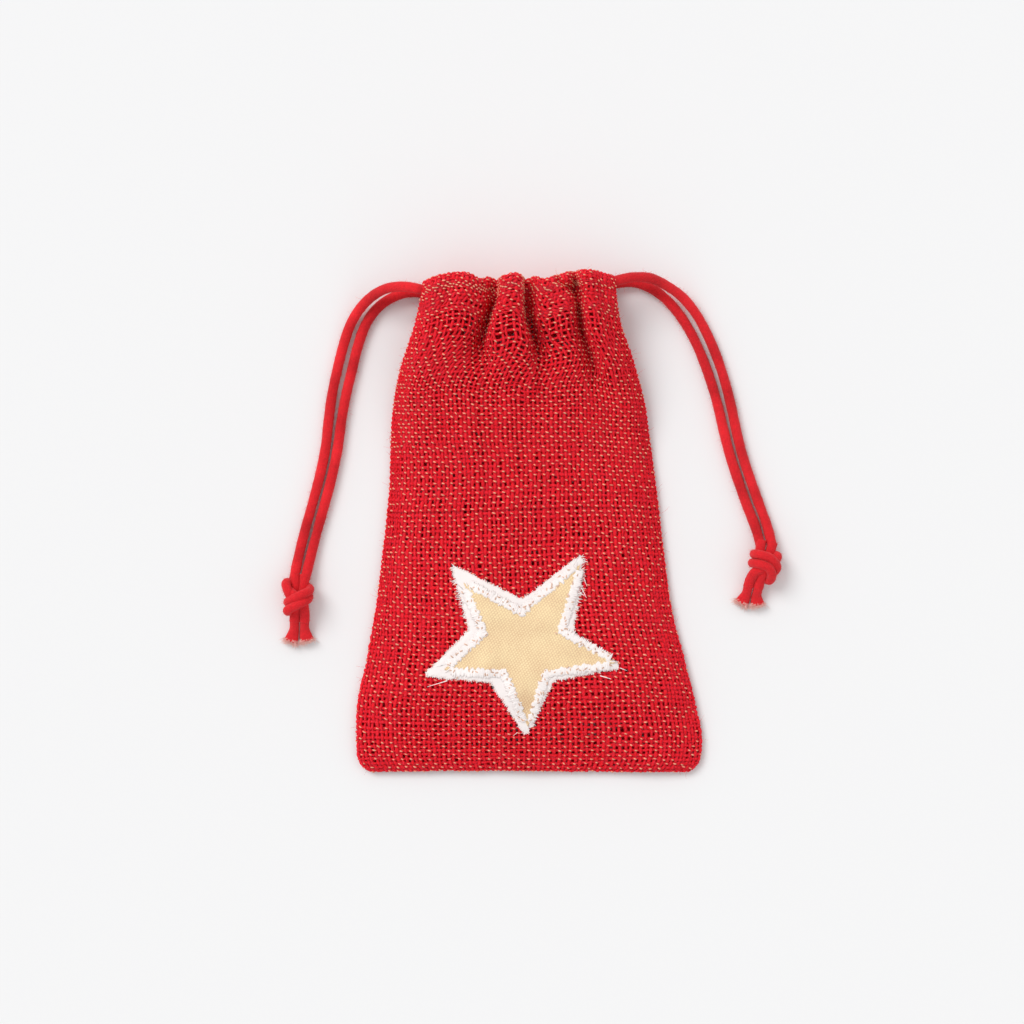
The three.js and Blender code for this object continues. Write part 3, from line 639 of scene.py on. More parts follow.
def cloth_material(name, colour, *, turns, strands, mess=0.5, deep=0.45, light=1.25, roughness=0.85, sheen=0.3,
                   bump=0.00008, mottle_size=160.0, flank_shade=0.0, glow=0.0):
    """Principled material of a yarn, thread or cord: its tone attribute, mottling and wound fibres shade the colour,
    the fibres with painted shade in the grooves of their twist.

    Flank shade is how much darker the sides of the yarn are than its top, a painted shade between neighbouring yarns;
    glow is the share of light it lets through."""
    material = bpy.data.materials.new(name)
    material.use_nodes = True
    tree = material.node_tree
    links = tree.links
    shader = tree.nodes["Principled BSDF"]
    shader.inputs["Roughness"].default_value = roughness
    shader.inputs["Sheen Weight"].default_value = sheen
    shader.inputs["Sheen Roughness"].default_value = 0.45
    shader.inputs["Sheen Tint"].default_value = [0.5 + 0.5 * c for c in colour[:3]] + [1]
    shader.inputs["Specular IOR Level"].default_value = 0.15
    shader.inputs["Subsurface Weight"].default_value = glow
    shader.inputs["Subsurface Radius"].default_value = (1.0, 0.12, 0.12)
    shader.inputs["Subsurface Scale"].default_value = 0.0009
    fibres = node(tree, "ShaderNodeGroup", (-700, 0))
    fibres.node_tree = twisted_fibres()
    fibres.inputs["Turns"].default_value = turns
    fibres.inputs["Strands"].default_value = strands
    fibres.inputs["Mess"].default_value = mess
    uneven = node(tree, "ShaderNodeGroup", (-700, -250))
    uneven.node_tree = mottle()
    uneven.inputs["Size"].default_value = mottle_size
    tone = node(tree, "ShaderNodeAttribute", (-700, 250), attribute_name="tone")
    # The fibres' Shade carries painted shade in the twist's grooves into the colour, beside the random tone and
    # mottling
    level = math_node(tree, "ADD", math_node(tree, "MULTIPLY", tone.outputs["Fac"], 0.55),
                      math_node(tree, "ADD", math_node(tree, "MULTIPLY", fibres.outputs["Shade"], 0.3),
                                math_node(tree, "MULTIPLY", uneven.outputs["Shade"], 0.25)))
    ramp = node(tree, "ShaderNodeValToRGB", (-300, 100))
    ramp.color_ramp.elements[0].position = 0.2
    ramp.color_ramp.elements[1].position = 0.85
    ramp.color_ramp.elements[0].color = [c * deep for c in colour[:3]] + [1]
    ramp.color_ramp.elements[1].color = [min(1, c * light + 0.01 * (light - 1)) for c in colour[:3]] + [1]
    links.new(level, ramp.inputs[0])
    # Painted shade: the sides of each yarn are darkened against its crown by the flank shade, standing in for the
    # shade between neighbouring yarns
    sides = node(tree, "ShaderNodeMix", (-80, 200), data_type="RGBA", blend_type="MULTIPLY")
    sides.inputs["Factor"].default_value = 1.0
    dim = math_node(tree, "ADD", math_node(tree, "MULTIPLY", fibres.outputs["Crown"], flank_shade), 1.0 - flank_shade)
    links.new(ramp.outputs[0], sides.inputs["A"])
    links.new(dim, sides.inputs["B"])
    links.new(sides.outputs["Result"], shader.inputs["Base Color"])
    relief = node(tree, "ShaderNodeBump", (-300, -250), Strength=0.6, Distance=bump)
    links.new(fibres.outputs["Height"], relief.inputs["Height"])
    links.new(relief.outputs[0], shader.inputs["Normal"])
    return material


def fibre_material(name, colour, deep, light):
    """Soft matte material of loose fibres, each a little lighter or darker by its tone."""
    material = bpy.data.materials.new(name)
    material.use_nodes = True
    tree = material.node_tree
    shader = tree.nodes["Principled BSDF"]
    shader.inputs["Roughness"].default_value = 0.9
    shader.inputs["Specular IOR Level"].default_value = 0.15
    tone = node(tree, "ShaderNodeAttribute", (-600, 100), attribute_name="tone")
    ramp = node(tree, "ShaderNodeValToRGB", (-300, 100))
    ramp.color_ramp.elements[0].position = 0.2
    ramp.color_ramp.elements[1].position = 0.8
    ramp.color_ramp.elements[0].color = [c * deep for c in colour[:3]] + [1]
    ramp.color_ramp.elements[1].color = [min(1, c * light) for c in colour[:3]] + [1]
    tree.links.new(tone.outputs["Fac"], ramp.inputs[0])
    tree.links.new(ramp.outputs[0], shader.inputs["Base Color"])
    return material


def flat_cloth_material(name, colour, *, pitch, deep, roughness, sheen, bump=0.00006, mottle_size=220.0):
    """Principled material of a fine flat cloth: mottling shades the colour, and a canvas weave shades the relief and
    darkens the colour between its threads as painted shade.
    """
    material = bpy.data.materials.new(name)
    material.use_nodes = True
    tree = material.node_tree
    links = tree.links
    shader = tree.nodes["Principled BSDF"]
    shader.inputs["Roughness"].default_value = roughness
    shader.inputs["Sheen Weight"].default_value = sheen
    shader.inputs["Specular IOR Level"].default_value = 0.3
    weave_node = node(tree, "ShaderNodeGroup", (-700, 0))
    weave_node.node_tree = canvas_weave()
    weave_node.inputs["Pitch"].default_value = pitch
    uneven = node(tree, "ShaderNodeGroup", (-700, -250))
    uneven.node_tree = mottle()
    uneven.inputs["Size"].default_value = mottle_size
    # Painted shade: the colour darkens where the canvas weave is low, between its threads; the mottling is the
    # cloth's own unevenness
    level = math_node(tree, "ADD", math_node(tree, "MULTIPLY", weave_node.outputs[0], 0.45),
                      math_node(tree, "MULTIPLY", uneven.outputs["Shade"], 0.6))
    ramp = node(tree, "ShaderNodeValToRGB", (-300, 100))
    ramp.color_ramp.elements[0].position = 0.15
    ramp.color_ramp.elements[1].position = 0.8
    ramp.color_ramp.elements[0].color = [c * deep for c in colour[:3]] + [1]
    ramp.color_ramp.elements[1].color = list(colour[:3]) + [1]
    links.new(level, ramp.inputs[0])
    links.new(ramp.outputs[0], shader.inputs["Base Color"])
    relief = node(tree, "ShaderNodeBump", (-300, -250), Strength=0.7, Distance=bump)
    links.new(level, relief.inputs["Height"])
    links.new(relief.outputs[0], shader.inputs["Normal"])
    return material


def material_for(key):
    """The material of one finish, made once."""
    name = f"{key} look"
    if name in bpy.data.materials:
        return bpy.data.materials[name]
    hue = colours()
    made = {
        "red_yarn": lambda: cloth_material(name, hue.cloth, turns=0.9, strands=2, deep=0.7, light=1.15,
                                           sheen=0.02, flank_shade=0.35, glow=0.75),
        "red_thread": lambda: cloth_material(name, hue.cloth, turns=2.0, strands=2, roughness=0.6),
        "gold_strand": lambda: cloth_material(name, hue.gold_strand, turns=0.5, strands=1, deep=0.6,
                                              light=1.0, roughness=0.4, sheen=0.0, bump=0.00002),
        "red_cotton": lambda: cloth_material(name, hue.cord, turns=0.0, strands=0.0, mess=1.5, deep=0.52,
                                             light=1.3, sheen=0.25, bump=0.00015, mottle_size=900.0),
        "pale_fluff": lambda: fibre_material(name, (1.0, 0.62, 0.56, 1), 0.7, 1.0),
        "red_fluff": lambda: fibre_material(name, hue.cord, 0.8, 1.15),
        "white_fluff": lambda: fibre_material(name, hue.white, 0.95, 1.1),
        "white_thread": lambda: cloth_material(name, hue.white, turns=1.4, strands=2, deep=0.93, light=1.08,
                                               sheen=0.2, bump=0.00002),
        "white_cotton": lambda: flat_cloth_material(name, hue.white, pitch=0.00045, deep=0.95,
                                                    roughness=0.9, sheen=0.3),
        "gold_cloth": lambda: cloth_material(name, hue.gold, turns=0.0, strands=0, mess=1.0, deep=0.62,
                                             light=1.35, roughness=0.45, sheen=0.1, bump=0.00002),
        "specks": lambda: cloth_material(name, (0.74, 0.49, 0.37, 1), turns=1.0, strands=1, deep=0.75,
                                         light=1.2, sheen=0.1),
    }[key]()
    return made


def finish_piece(piece, material, slot, body, *nodes, blended=None):
    """Gives a piece its material, sets it on its body or, when blended, bakes its place into its mesh and leaves it
    on no body, and hides the parts it stands for. Slot is not used.
    """
    piece.data.materials.append(material_for(material))
    if blended:
        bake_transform(piece)
    else:
        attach(piece, body)
    if nodes:
        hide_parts(*nodes)
    return piece


# ---------------------------------------------------------------------------------------------- woven cloth

def yarn_scale(length):
    """Share of the full yarn width along the cloth: slimmer near the bottom and at the gathered mouth."""
    slim = 0.08 * (1 - smoothstep(4, 60, length)) + 0.27 * smoothstep(98, 126, length)
    return 1 - slim + 0.24 * smoothstep(141, 146, length)


class Weave:
    """Warps and wefts of one cloth: rings of yarn at each crossing and half way between crossings."""

    def __init__(self, cloth, warps, rows, seed, width, height, crimp, drift=0.0):
        self.cloth, self.warps, self.rows = cloth, warps, len(rows)
        rng = np.random.RandomState(seed)
        p_half = np.arange(2 * warps + 1) / 2 - 0.5
        q_half = np.arange(2 * self.rows + 1) / 2 - 0.5
        row_at = cloth.row(np.interp(q_half, np.arange(self.rows), rows,
                                     left=rows[0] - 0.4, right=rows[-1] + 0.4))
        rings, count = len(q_half), len(p_half)
        wander = yarn_noise(rng, warps, rings, 9) * 0.13 + yarn_noise(rng, warps, rings, 2) * 0.05
        share = (np.arange(warps)[:, None] + 0.5 + wander) / warps
        ring_length = np.interp(row_at, np.arange(len(cloth.length)), cloth.length)
        share, length = self.drifted(share, np.broadcast_to(ring_length, (warps, rings)), drift)
        point, normal = cloth.read(share, cloth.row(length))
        over = np.cos(math.pi * (np.arange(warps)[:, None] + q_half[None])) * crimp
        scale = yarn_scale(ring_length)
        self.warp = self.yarns(rng, point, normal, over, width * scale[None], height)
        lengths = np.broadcast_to(np.asarray(rows)[:, None], (self.rows, count))
        wander = yarn_noise(rng, self.rows, count, 9) * 0.16 + yarn_noise(rng, self.rows, count, 2) * 0.06
        share = np.broadcast_to((p_half + 0.5) / warps, (self.rows, count))
        share, length = self.drifted(share, lengths + wander, drift)
        point, normal = cloth.read(share, cloth.row(length))
        over = -np.cos(math.pi * (p_half[None] + np.arange(self.rows)[:, None])) * crimp
        self.weft = self.yarns(rng, point, normal, over, 0.90 * width * yarn_scale(lengths), height)

    def drifted(self, share, length, drift):
        """Shares and lengths moved by slow noise, so that the grain bows a little; nothing moves at the edges."""
        whole = self.cloth.length[-1]
        calm = smoothstep(0, 0.1, share) * (1 - smoothstep(0.9, 1, share))
        calm_length = smoothstep(2, 26, length) * (1 - smoothstep(whole - 60, whole - 22, length))
        across = drift * 0.011 * slow_noise(share * 100, length, 8, 60) * calm
        down = drift * 1.5 * slow_noise(share * 100, length, 14, 75) * calm_length
        return share + across, length + down

    def yarns(self, rng, point, normal, over, width, height):
        """Centres, sideways and up directions, half sizes and tone of one set of yarns."""
        centres = point + normal * over[..., None]
        tangent = unit(np.gradient(centres, axis=1))
        side = unit(np.cross(tangent, normal))
        up = np.cross(side, tangent)
        pitch = np.linalg.norm(np.gradient(point, axis=0), axis=2) if len(point) > 1 else np.full(over.shape, width)
        lines, rings = over.shape
        uneven = 1 + 0.13 * yarn_noise(rng, lines, rings, 7) + 0.07 * yarn_noise(rng, lines, rings, 3)
        each = 1 + 0.05 * rng.normal(0, 1, (lines, 1))
        fuller = 1 + 0.4 * np.clip(pitch / 1.5 - 1, 0, 0.7)
        half = np.clip(np.minimum(width * fuller, pitch * 0.92) * uneven * each, 0.25, 1.35) / 2
        tall = np.clip(height * (0.7 + 0.3 * uneven), 0.3, 0.8) / 2
        tone = np.clip(0.5 + 0.12 * rng.normal(0, 1, (lines, 1)) + 0.12 * yarn_noise(rng, lines, rings, 5), 0, 1)
        return centres, side, up, half, tall, tone

    def part(self, warps, rows):
        """Yarns of the block between two warps and two rows, as parts for new_piece."""
        (w0, w1), (r0, r1) = warps, rows
        block = []
        for values, lines, rings in ((self.warp, slice(w0, w1), slice(2 * r0, 2 * r1 + 1)),
                                     (self.weft, slice(r0, r1), slice(2 * w0, 2 * w1 + 1))):
            centres, side, up, half, tall, tone = (v[lines, rings] for v in values)
            block.append(tube_parts(centres, side, up, half, tall, 6, tone))
        return join_parts(block)

    def dashes(self, warps, rows):
        """Short gold strands lying slantwise over every raised weft, a few of them missing or dim."""
        (w0, w1), (r0, r1) = warps, rows
        q, p = np.meshgrid(np.arange(r0, r1), np.arange(w0, w1), indexing="ij")
        raised = (p + q) % 2 == 1
        aside = smoothstep(0.66, 0.94, np.abs(2 * (p + 0.5) / self.warps - 1))
        keep = raised & (np.random.RandomState(r0 * 7 + w0).uniform(0, 1, p.shape) > 0.07 + 0.5 * aside)
        q, p = q[keep], p[keep]
        centres, side, up, half, tall, _ = self.weft
        ring = 2 * p + 1
        base, across, rise = centres[q, ring], side[q, ring], up[q, ring]
        run = unit(centres[q, ring + 1] - centres[q, ring - 1])
        rng = np.random.RandomState(r1 * 11 + w1)
        t = np.array([-1, -0.4, 0.4, 1])[None, :, None]
        length = (0.38 + 0.06 * rng.normal(0, 1, (len(q), 1, 1)))
        slant = 0.13 + 0.05 * rng.normal(0, 1, (len(q), 1, 1))
        lift = tall[q, ring][:, None, None] + 0.03 - 0.16 * t**2
        shift = half[q, ring][:, None, None] * 0.15 * rng.normal(0, 1, (len(q), 1, 1))
        line = (base[:, None] + run[:, None] * t * length + across[:, None] * (t * slant + shift)
                + rise[:, None] * lift)
        wide = np.broadcast_to(np.array([0.15, 0.24, 0.24, 0.15]), line.shape[:2])
        wide = wide * rng.uniform(0.8, 1.2, (len(q), 1))
        sideways = unit(np.cross(unit(np.gradient(line, axis=1)), np.broadcast_to(rise[:, None], line.shape)))
        high = np.cross(sideways, unit(np.gradient(line, axis=1)))
        tone = np.clip(rng.normal(0.62, 0.25, (len(q), 1)), 0, 1)
        return tube_parts(line, sideways, high, wide, wide * 0.45, 4, np.broadcast_to(tone, line.shape[:2]))


def weft_rows(length, start=0.7):
    """Lengths of the wefts along the cloth: closer at the bottom of the sack, wider in the middle."""
    s = np.linspace(0, length, 2000)
    pitch = 1.28 + 0.22 * smoothstep(4, 18, s) + 0.10 * smoothstep(112, 134, s) - 0.5 * smoothstep(145, 149, s)
    count = np.append(0, np.cumsum(np.diff(s) / pitch[1:]))
    return np.interp(np.arange(start, count[-1] - 0.5), count, s)


def front_cloth():
    """The front cloth's middle surface, up over the mouth and down inside it."""
    grid = sheet_grid(front_height, MOUTH_EDGE, lambda x: CASING_INNER - RUN_SAG * sag_share(x), 148.5, 11.0, 7.0)
    return Cloth(grid, 1)


def back_cloth():
    """The back cloth's middle surface, which comes up over the mouth's edge from below."""
    edge = [(x, y - 0.8) for x, y in MOUTH_EDGE]
    grid = sheet_grid(back_height, edge, lambda x: np.full_like(x, 4.72), 146.5, 7.0, 7.0)
    return Cloth(grid, -1)


def weave_sack_side(name, cloth, seed, nodes, fullness):
    """The yarns and gold strands of the front or the back, in four blocks that meet edge to edge."""
    s = sizes()
    rows = weft_rows(cloth.length[-1] - 0.6)
    width = s.yarn_width / MM * fullness
    weave = Weave(cloth, s.warps, rows, seed, width, s.yarn_height / MM, s.crimp / MM, drift=1.0)
    half = s.warps // 2
    split = int(np.searchsorted(rows, UPPER_START))
    top = len(rows)
    for level, span in (("lower", (0, split)), ("upper", (split, top))):
        for side, warps in (("left", (0, half)), ("right", (half, s.warps))):
            blended = side if level == "upper" else None
            piece = new_piece(f"{name}_cloth_{level}_{side}", *weave.part(warps, span))
            finish_piece(piece, "red_yarn", "sack_cloth", "sack", *nodes, blended=blended)
            dash = new_piece(f"{name}_gold_{level}_{side}", *weave.dashes(warps, span))
            finish_piece(dash, "gold_strand", "sack_cloth", "sack", blended=blended)


def thread_line(points, ups, width, height, tone):
    """Short threads as closed tubes: points and up directions are arrays of (threads, rings, 3)."""
    tangent = unit(np.gradient(points, axis=1))
    side = unit(np.cross(tangent, ups))
    rise = np.cross(side, tangent)
    shape = points.shape[:2]
    ends = np.ones(shape[1])
    ends[[0, -1]] = 0.55
    wide = np.broadcast_to(ends, shape) * width / 2
    return tube_parts(points, side, rise, wide, wide * height / width, 6, np.broadcast_to(tone, shape))


def casing_stitches(name, cloth, length, outward, node_name, seed):
    """A line of running stitches across a cloth at one length, each a short arch of thread over the yarns."""
    rng = np.random.RandomState(seed)
    count = 27
    start = (np.arange(count) + 0.5) / count
    t = np.linspace(-1, 1, 6)[None, :]
    share = start[:, None] + t * 0.30 / count + rng.normal(0, 0.03, (count, 1)) / count
    rows = cloth.row(np.broadcast_to(length + rng.normal(0, 0.12, (count, 1)), share.shape))
    point, normal = cloth.read(share, rows)
    lift = (0.18 - 0.35 * t**4)[..., None]
    rng.uniform(0.3, 0.7, (count, 1))  # not used: it keeps the later draws as they are
    inside = point[:, :, 0] < MOUTH_MIDDLE
    for side, keep in (("left", inside.all(axis=1)), ("right", ~inside.all(axis=1))):
        picked = thread_line((point + outward * normal * lift)[keep], (outward * normal)[keep], *CASING_THREAD,
                             rng.uniform(0.3, 0.7, (int(keep.sum()), 1)))
        piece = new_piece(f"{name}_{side}", *picked)
        finish_piece(piece, "red_thread", "red_thread", "sack", node_name, blended=side)


def seam_allowances():
    """Woven strips folded inside the side and bottom seams: narrow grids between the two cloths."""
    across = np.linspace(0, 1, 40)
    for side in ("left", "right"):
        y = np.linspace(-68.5, 61.5, 260)[:, None]
        left, right = sack_sides(y)
        edge, inward = (left, 1) if side == "left" else (right, -1)
        x = edge + inward * (1.6 + 4.6 * across[None])
        z = seam_height(y) - 0.1 + 0.25 * slow_noise(x, y, 21, 15) + 0.05 * across[None]
        grid = np.stack(np.broadcast_arrays(x, y, z), 2)
        cloth = Cloth(grid if side == "left" else grid[:, ::-1], 1)
        weave = Weave(cloth, 4, np.arange(0.8, cloth.length[-1] - 0.8, 1.35), 31, 0.85, 0.44, 0.2)
        piece = new_piece(f"{side}_seam_allowance", *weave.part((0, 4), (0, weave.rows)))
        finish_piece(piece, "red_yarn", "sack_cloth", "sack", f"{side}_side_seam", blended=side)
    y = np.linspace(-73.4, -69.6, 40)[:, None]
    left, right = sack_sides(y)
    x = left + 3.2 + (right - left - 6.4) * np.linspace(0, 1, 320)[None]
    z = 1.62 + 0.06 * slow_noise(x, y, 22, 20)
    cloth = Cloth(np.stack(np.broadcast_arrays(x, y, z), 2), 1)
    weave = Weave(cloth, 70, np.arange(0.6, cloth.length[-1] - 0.4, 1.1), 33, 0.85, 0.4, 0.18)
    piece = new_piece("bottom_seam_allowance", *weave.part((0, 70), (0, weave.rows)))
    finish_piece(piece, "red_yarn", "sack_cloth", "sack", "bottom_seam")


def seam_head(side):
    """The top end of a side seam: the seam's cloth folded flat over itself, lying between the cord's two runs."""
    low, high = (np.array(v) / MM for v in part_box(f"{side}_seam_head"))
    middle = (low[0] + high[0]) / 2
    turn = np.linspace(0, 1, 90)[None]
    y = np.linspace(low[1] + 0.3, high[1] - 0.3, 50)[:, None]
    x = middle + 1.35 * np.cos(math.tau * turn) + 0 * y
    z = 5.75 + (0.28 + 0.12 * turn) * np.sin(math.tau * turn) + 0 * y
    cloth = Cloth(np.stack(np.broadcast_arrays(x, y, z), 2), -1)
    weave = Weave(cloth, 8, np.arange(0.5, cloth.length[-1] - 0.4, 1.1), 41, 0.8, 0.36, 0.14)
    piece = new_piece(f"{side}_seam_head_fold", *weave.part((0, 8), (0, weave.rows)))
    finish_piece(piece, "red_yarn", "sack_cloth", f"{side}_mouth_end", f"{side}_seam_head")


def cloth_fuzz(cloth, name, outward, seed):
    """Stray fibres that stand off the yarns, more of them along the sides and the mouth."""
    rng = np.random.RandomState(seed)
    count = 1500
    share = rng.uniform(0, 1, count)
    edge = rng.uniform(0, 1, count) < 0.45
    share = np.where(edge, np.where(rng.uniform(0, 1, count) < 0.5, rng.beta(1, 30, count),
                                    1 - rng.beta(1, 30, count)), share)
    rows = cloth.row(rng.uniform(0.5, cloth.length[-1] - 8, count))
    point, normal = cloth.read(share, rows)
    along_cloth = unit(rng.normal(0, 1, (count, 3)))
    direction = unit(along_cloth + normal * outward * rng.uniform(0.25, 1.1, (count, 1)))
    roots = point + normal * outward * 0.35
    direction[:, 2] = np.where(roots[:, 2] < 2.5, np.abs(direction[:, 2]) * 0.3, direction[:, 2])
    length = np.clip(rng.gamma(2.0, 0.55, count), 0.4, 3.4)
    for side in ("left", "right"):
        keep = (point[:, 0] < MOUTH_MIDDLE) == (side == "left")
        parts = hairs(np.random.RandomState(seed + 1), roots[keep], direction[keep], length[keep], 0.035, 0.35)
        piece = new_piece(f"{name}_fuzz_{side}", *parts, smooth=False)
        finish_piece(piece, "red_fluff", "sack_cloth", "sack", blended=side)


# ---------------------------------------------------------------------------------------------- star patch

def star_ground(x, y):
    """Height of the patch's underside: the front cloth's middle plus a yarn."""
    return front_height(x, y) + 0.38


def outline_points(outline, parts):
    """Points round a star with each straight edge divided, and the outward direction at each."""
    corners = np.asarray(outline, float)
    following = np.roll(corners, -1, axis=0)
    t = np.arange(parts)[None, :, None] / parts
    points = (corners[:, None] * (1 - t) + following[:, None] * t).reshape(-1, 2)
    tangent = np.roll(points, -1, axis=0) - np.roll(points, 1, axis=0)
    tangent /= np.linalg.norm(tangent, axis=1, keepdims=True)
    outward = np.stack([-tangent[:, 1], tangent[:, 0]], 1)
    middle = points.mean(axis=0)
    if ((points - middle) * outward).sum() < 0:
        outward = -outward
    return points, outward


def loop_noise(rng, count, every):
    """Smooth seeded noise round a closed loop."""
    waves = count // every
    turn = np.arange(count) / count * math.tau
    k = np.arange(1, waves + 1)[:, None]
    size = rng.normal(0, 1, (waves, 1)) / np.sqrt(waves)
    return (size * np.sin(k * turn[None] + rng.uniform(0, math.tau, (waves, 1)))).sum(axis=0)


def star_backing():
    """White cotton star: rings from the middle to a ragged rim, a soft top and a flat underside, closed round."""
    rng = np.random.RandomState(51)
    rim, outward = outline_points(BACKING_OUTLINE, 34)
    rim = rim + outward * (0.12 + 0.22 * loop_noise(rng, len(rim), 3))[:, None]
    middle = np.array(STAR_MIDDLE)
    tips = np.asarray(BACKING_OUTLINE[::2])
    nearest = np.linalg.norm(rim[:, None] - tips[None], axis=2).argmin(axis=1)
    blunt = np.linalg.norm(tips - middle, axis=1)[nearest] - 1.0
    rim = middle + (rim - middle) * np.minimum(1, blunt / np.linalg.norm(rim - middle, axis=1))[:, None]
    shares = np.concatenate([np.linspace(0.15, 0.9, 16), [0.94, 0.97, 0.99, 1.0]])
    flat = middle + (rim - middle)[None] * shares[:, None, None]
    ground = star_ground(flat[..., 0], flat[..., 1])
    puff = 0.5 * (1 - np.clip((shares - 0.93) / 0.07, 0, 1) ** 2 * 0.75)[:, None]
    grain = 0.03 * slow_noise(flat[..., 0], flat[..., 1], 52, 2.3)
    grain = grain + 0.03 * slow_noise(flat[..., 0], flat[..., 1], 53, 7)
    top = np.dstack([flat, ground + puff + grain])
    under = np.dstack([flat, ground])
    points = np.concatenate([top.reshape(-1, 3), under.reshape(-1, 3),
                             [[*middle, star_ground(*middle) + 0.55], [*middle, star_ground(*middle)]]])
    rings, count = len(shares), len(rim)
    at = np.arange(rings * count).reshape(rings, count)
    nxt = np.roll(at, -1, axis=1)
    off = rings * count
    up_quads = np.stack([at[:-1], at[1:], nxt[1:], nxt[:-1]], -1).reshape(-1, 4)
    down_quads = up_quads[:, ::-1] + off
    wall = np.stack([at[-1], at[-1] + off, nxt[-1] + off, nxt[-1]], -1)
    centre = np.full(count, 2 * off)
    top_fan = np.stack([centre, at[0], nxt[0]], -1)
    fans = np.concatenate([top_fan, np.stack([centre + 1, nxt[0] + off, at[0] + off], -1)])
    quads = np.concatenate([up_quads, down_quads, wall])
    signed = (rim[:, 0] * np.roll(rim[:, 1], -1) - np.roll(rim[:, 0], -1) * rim[:, 1]).sum()
    if signed < 0:
        quads, fans = quads[:, ::-1], fans[:, ::-1]
    loops = np.concatenate([quads.reshape(-1), fans.reshape(-1)])
    starts = np.concatenate([np.arange(len(quads)) * 4, quads.size + np.arange(len(fans)) * 3])
    piece = new_piece("star_backing_cloth", points, loops, starts)
    finish_piece(piece, "white_cotton", "white_cotton", "sack", "star_backing")
    return rim, outward


def star_fringe(rim, outward):
    """Frayed threads round the white star: short ones everywhere, long ones on the right arm and lower left."""
    rng = np.random.RandomState(61)
    count = 1500
    index = rng.randint(0, len(rim), count)
    spot, away = rim[index], outward[index]
    spot = spot - away * rng.uniform(0.0, 0.7, (count, 1))
    right_arm = np.exp(-(((spot[:, 0] - 16.5) / 3.5) ** 2)) * np.exp(-(((spot[:, 1] + 20) / 9) ** 2))
    right_arm = right_arm * (away[:, 0] > 0.3)
    left_arm = np.exp(-(((spot[:, 0] + 20.5) / 3.5) ** 2)) * np.exp(-(((spot[:, 1] + 22) / 8) ** 2))
    left_arm = left_arm * (away[:, 0] < -0.3)
    length = 0.34 + rng.gamma(1.4, 0.10, count) + 2.6 * right_arm * rng.uniform(0, 1, count) ** 2
    length = length + 1.5 * left_arm * rng.uniform(0, 1, count) ** 1.5
    angle = rng.normal(0, 0.55, count) - 0.5 * right_arm * np.sign(away[:, 1] + 0.01)
    turned = np.stack([away[:, 0] * np.cos(angle) - away[:, 1] * np.sin(angle),
                       away[:, 0] * np.sin(angle) + away[:, 1] * np.cos(angle)], 1)
    sag = right_arm[:, None] * np.array([[0.1, -0.7]])
    direction = np.concatenate([turned + sag, rng.normal(0.02, 0.10, (count, 1))], 1)
    roots = np.concatenate([spot, (star_ground(spot[:, 0], spot[:, 1]) + rng.uniform(0.2, 0.46, count))[:, None]], 1)
    short = hairs(rng, roots, unit(direction), length, 0.125, 0.22)
    strays = np.array([[-24.5, -47.6], [21.0, -46.0], [15.6, -20.0], [16.2, -17.0], [-3.5, -63.0], [27.0, -43.8]])
    ways = np.array([[-0.95, -0.28], [0.95, -0.3], [0.42, -0.9], [0.35, -0.93], [-0.6, -0.5], [0.9, -0.35]])
    reach = np.array([6.0, 3.4, 3.2, 2.6, 1.6, 2.2])
    roots = np.concatenate([strays, (star_ground(strays[:, 0], strays[:, 1]) + 0.35)[:, None]], 1)
    ways = np.concatenate([ways, np.full((len(ways), 1), -0.02)], 1)
    long = hairs(rng, roots, unit(ways), reach, 0.16, 0.10, points=9)
    piece = new_piece("star_fringe", *join_parts([short, long]), smooth=False)
    finish_piece(piece, "white_fluff", "white_cotton", "sack")


def inside_star(outline, x, y):
    """Whether points lie inside a star: an odd count of edges crossed on the way right."""
    corners = np.asarray(outline, float)
    inside = np.zeros(x.shape, bool)
    for (x0, y0), (x1, y1) in zip(corners, np.roll(corners, -1, axis=0)):
        crosses = (y0 > y) != (y1 > y)
        inside ^= crosses & (x < (x1 - x0) * (y - y0) / (y1 - y0 + 1e-12) + x0)
    return inside


def woven_bump(x, y, row, float_length):
    """Relief of a cloth of close rows: each row a rounded ridge with floats along it, shifted half in every other."""
    v = y / row
    ridge = np.round(v)
    u = x / float_length + 0.5 * np.mod(ridge, 2)
    return np.sqrt(np.clip(1 - 1.6 * (v - ridge) ** 2 * 2, 0, 1)) * (0.62 + 0.38 * np.cos(math.tau * u))


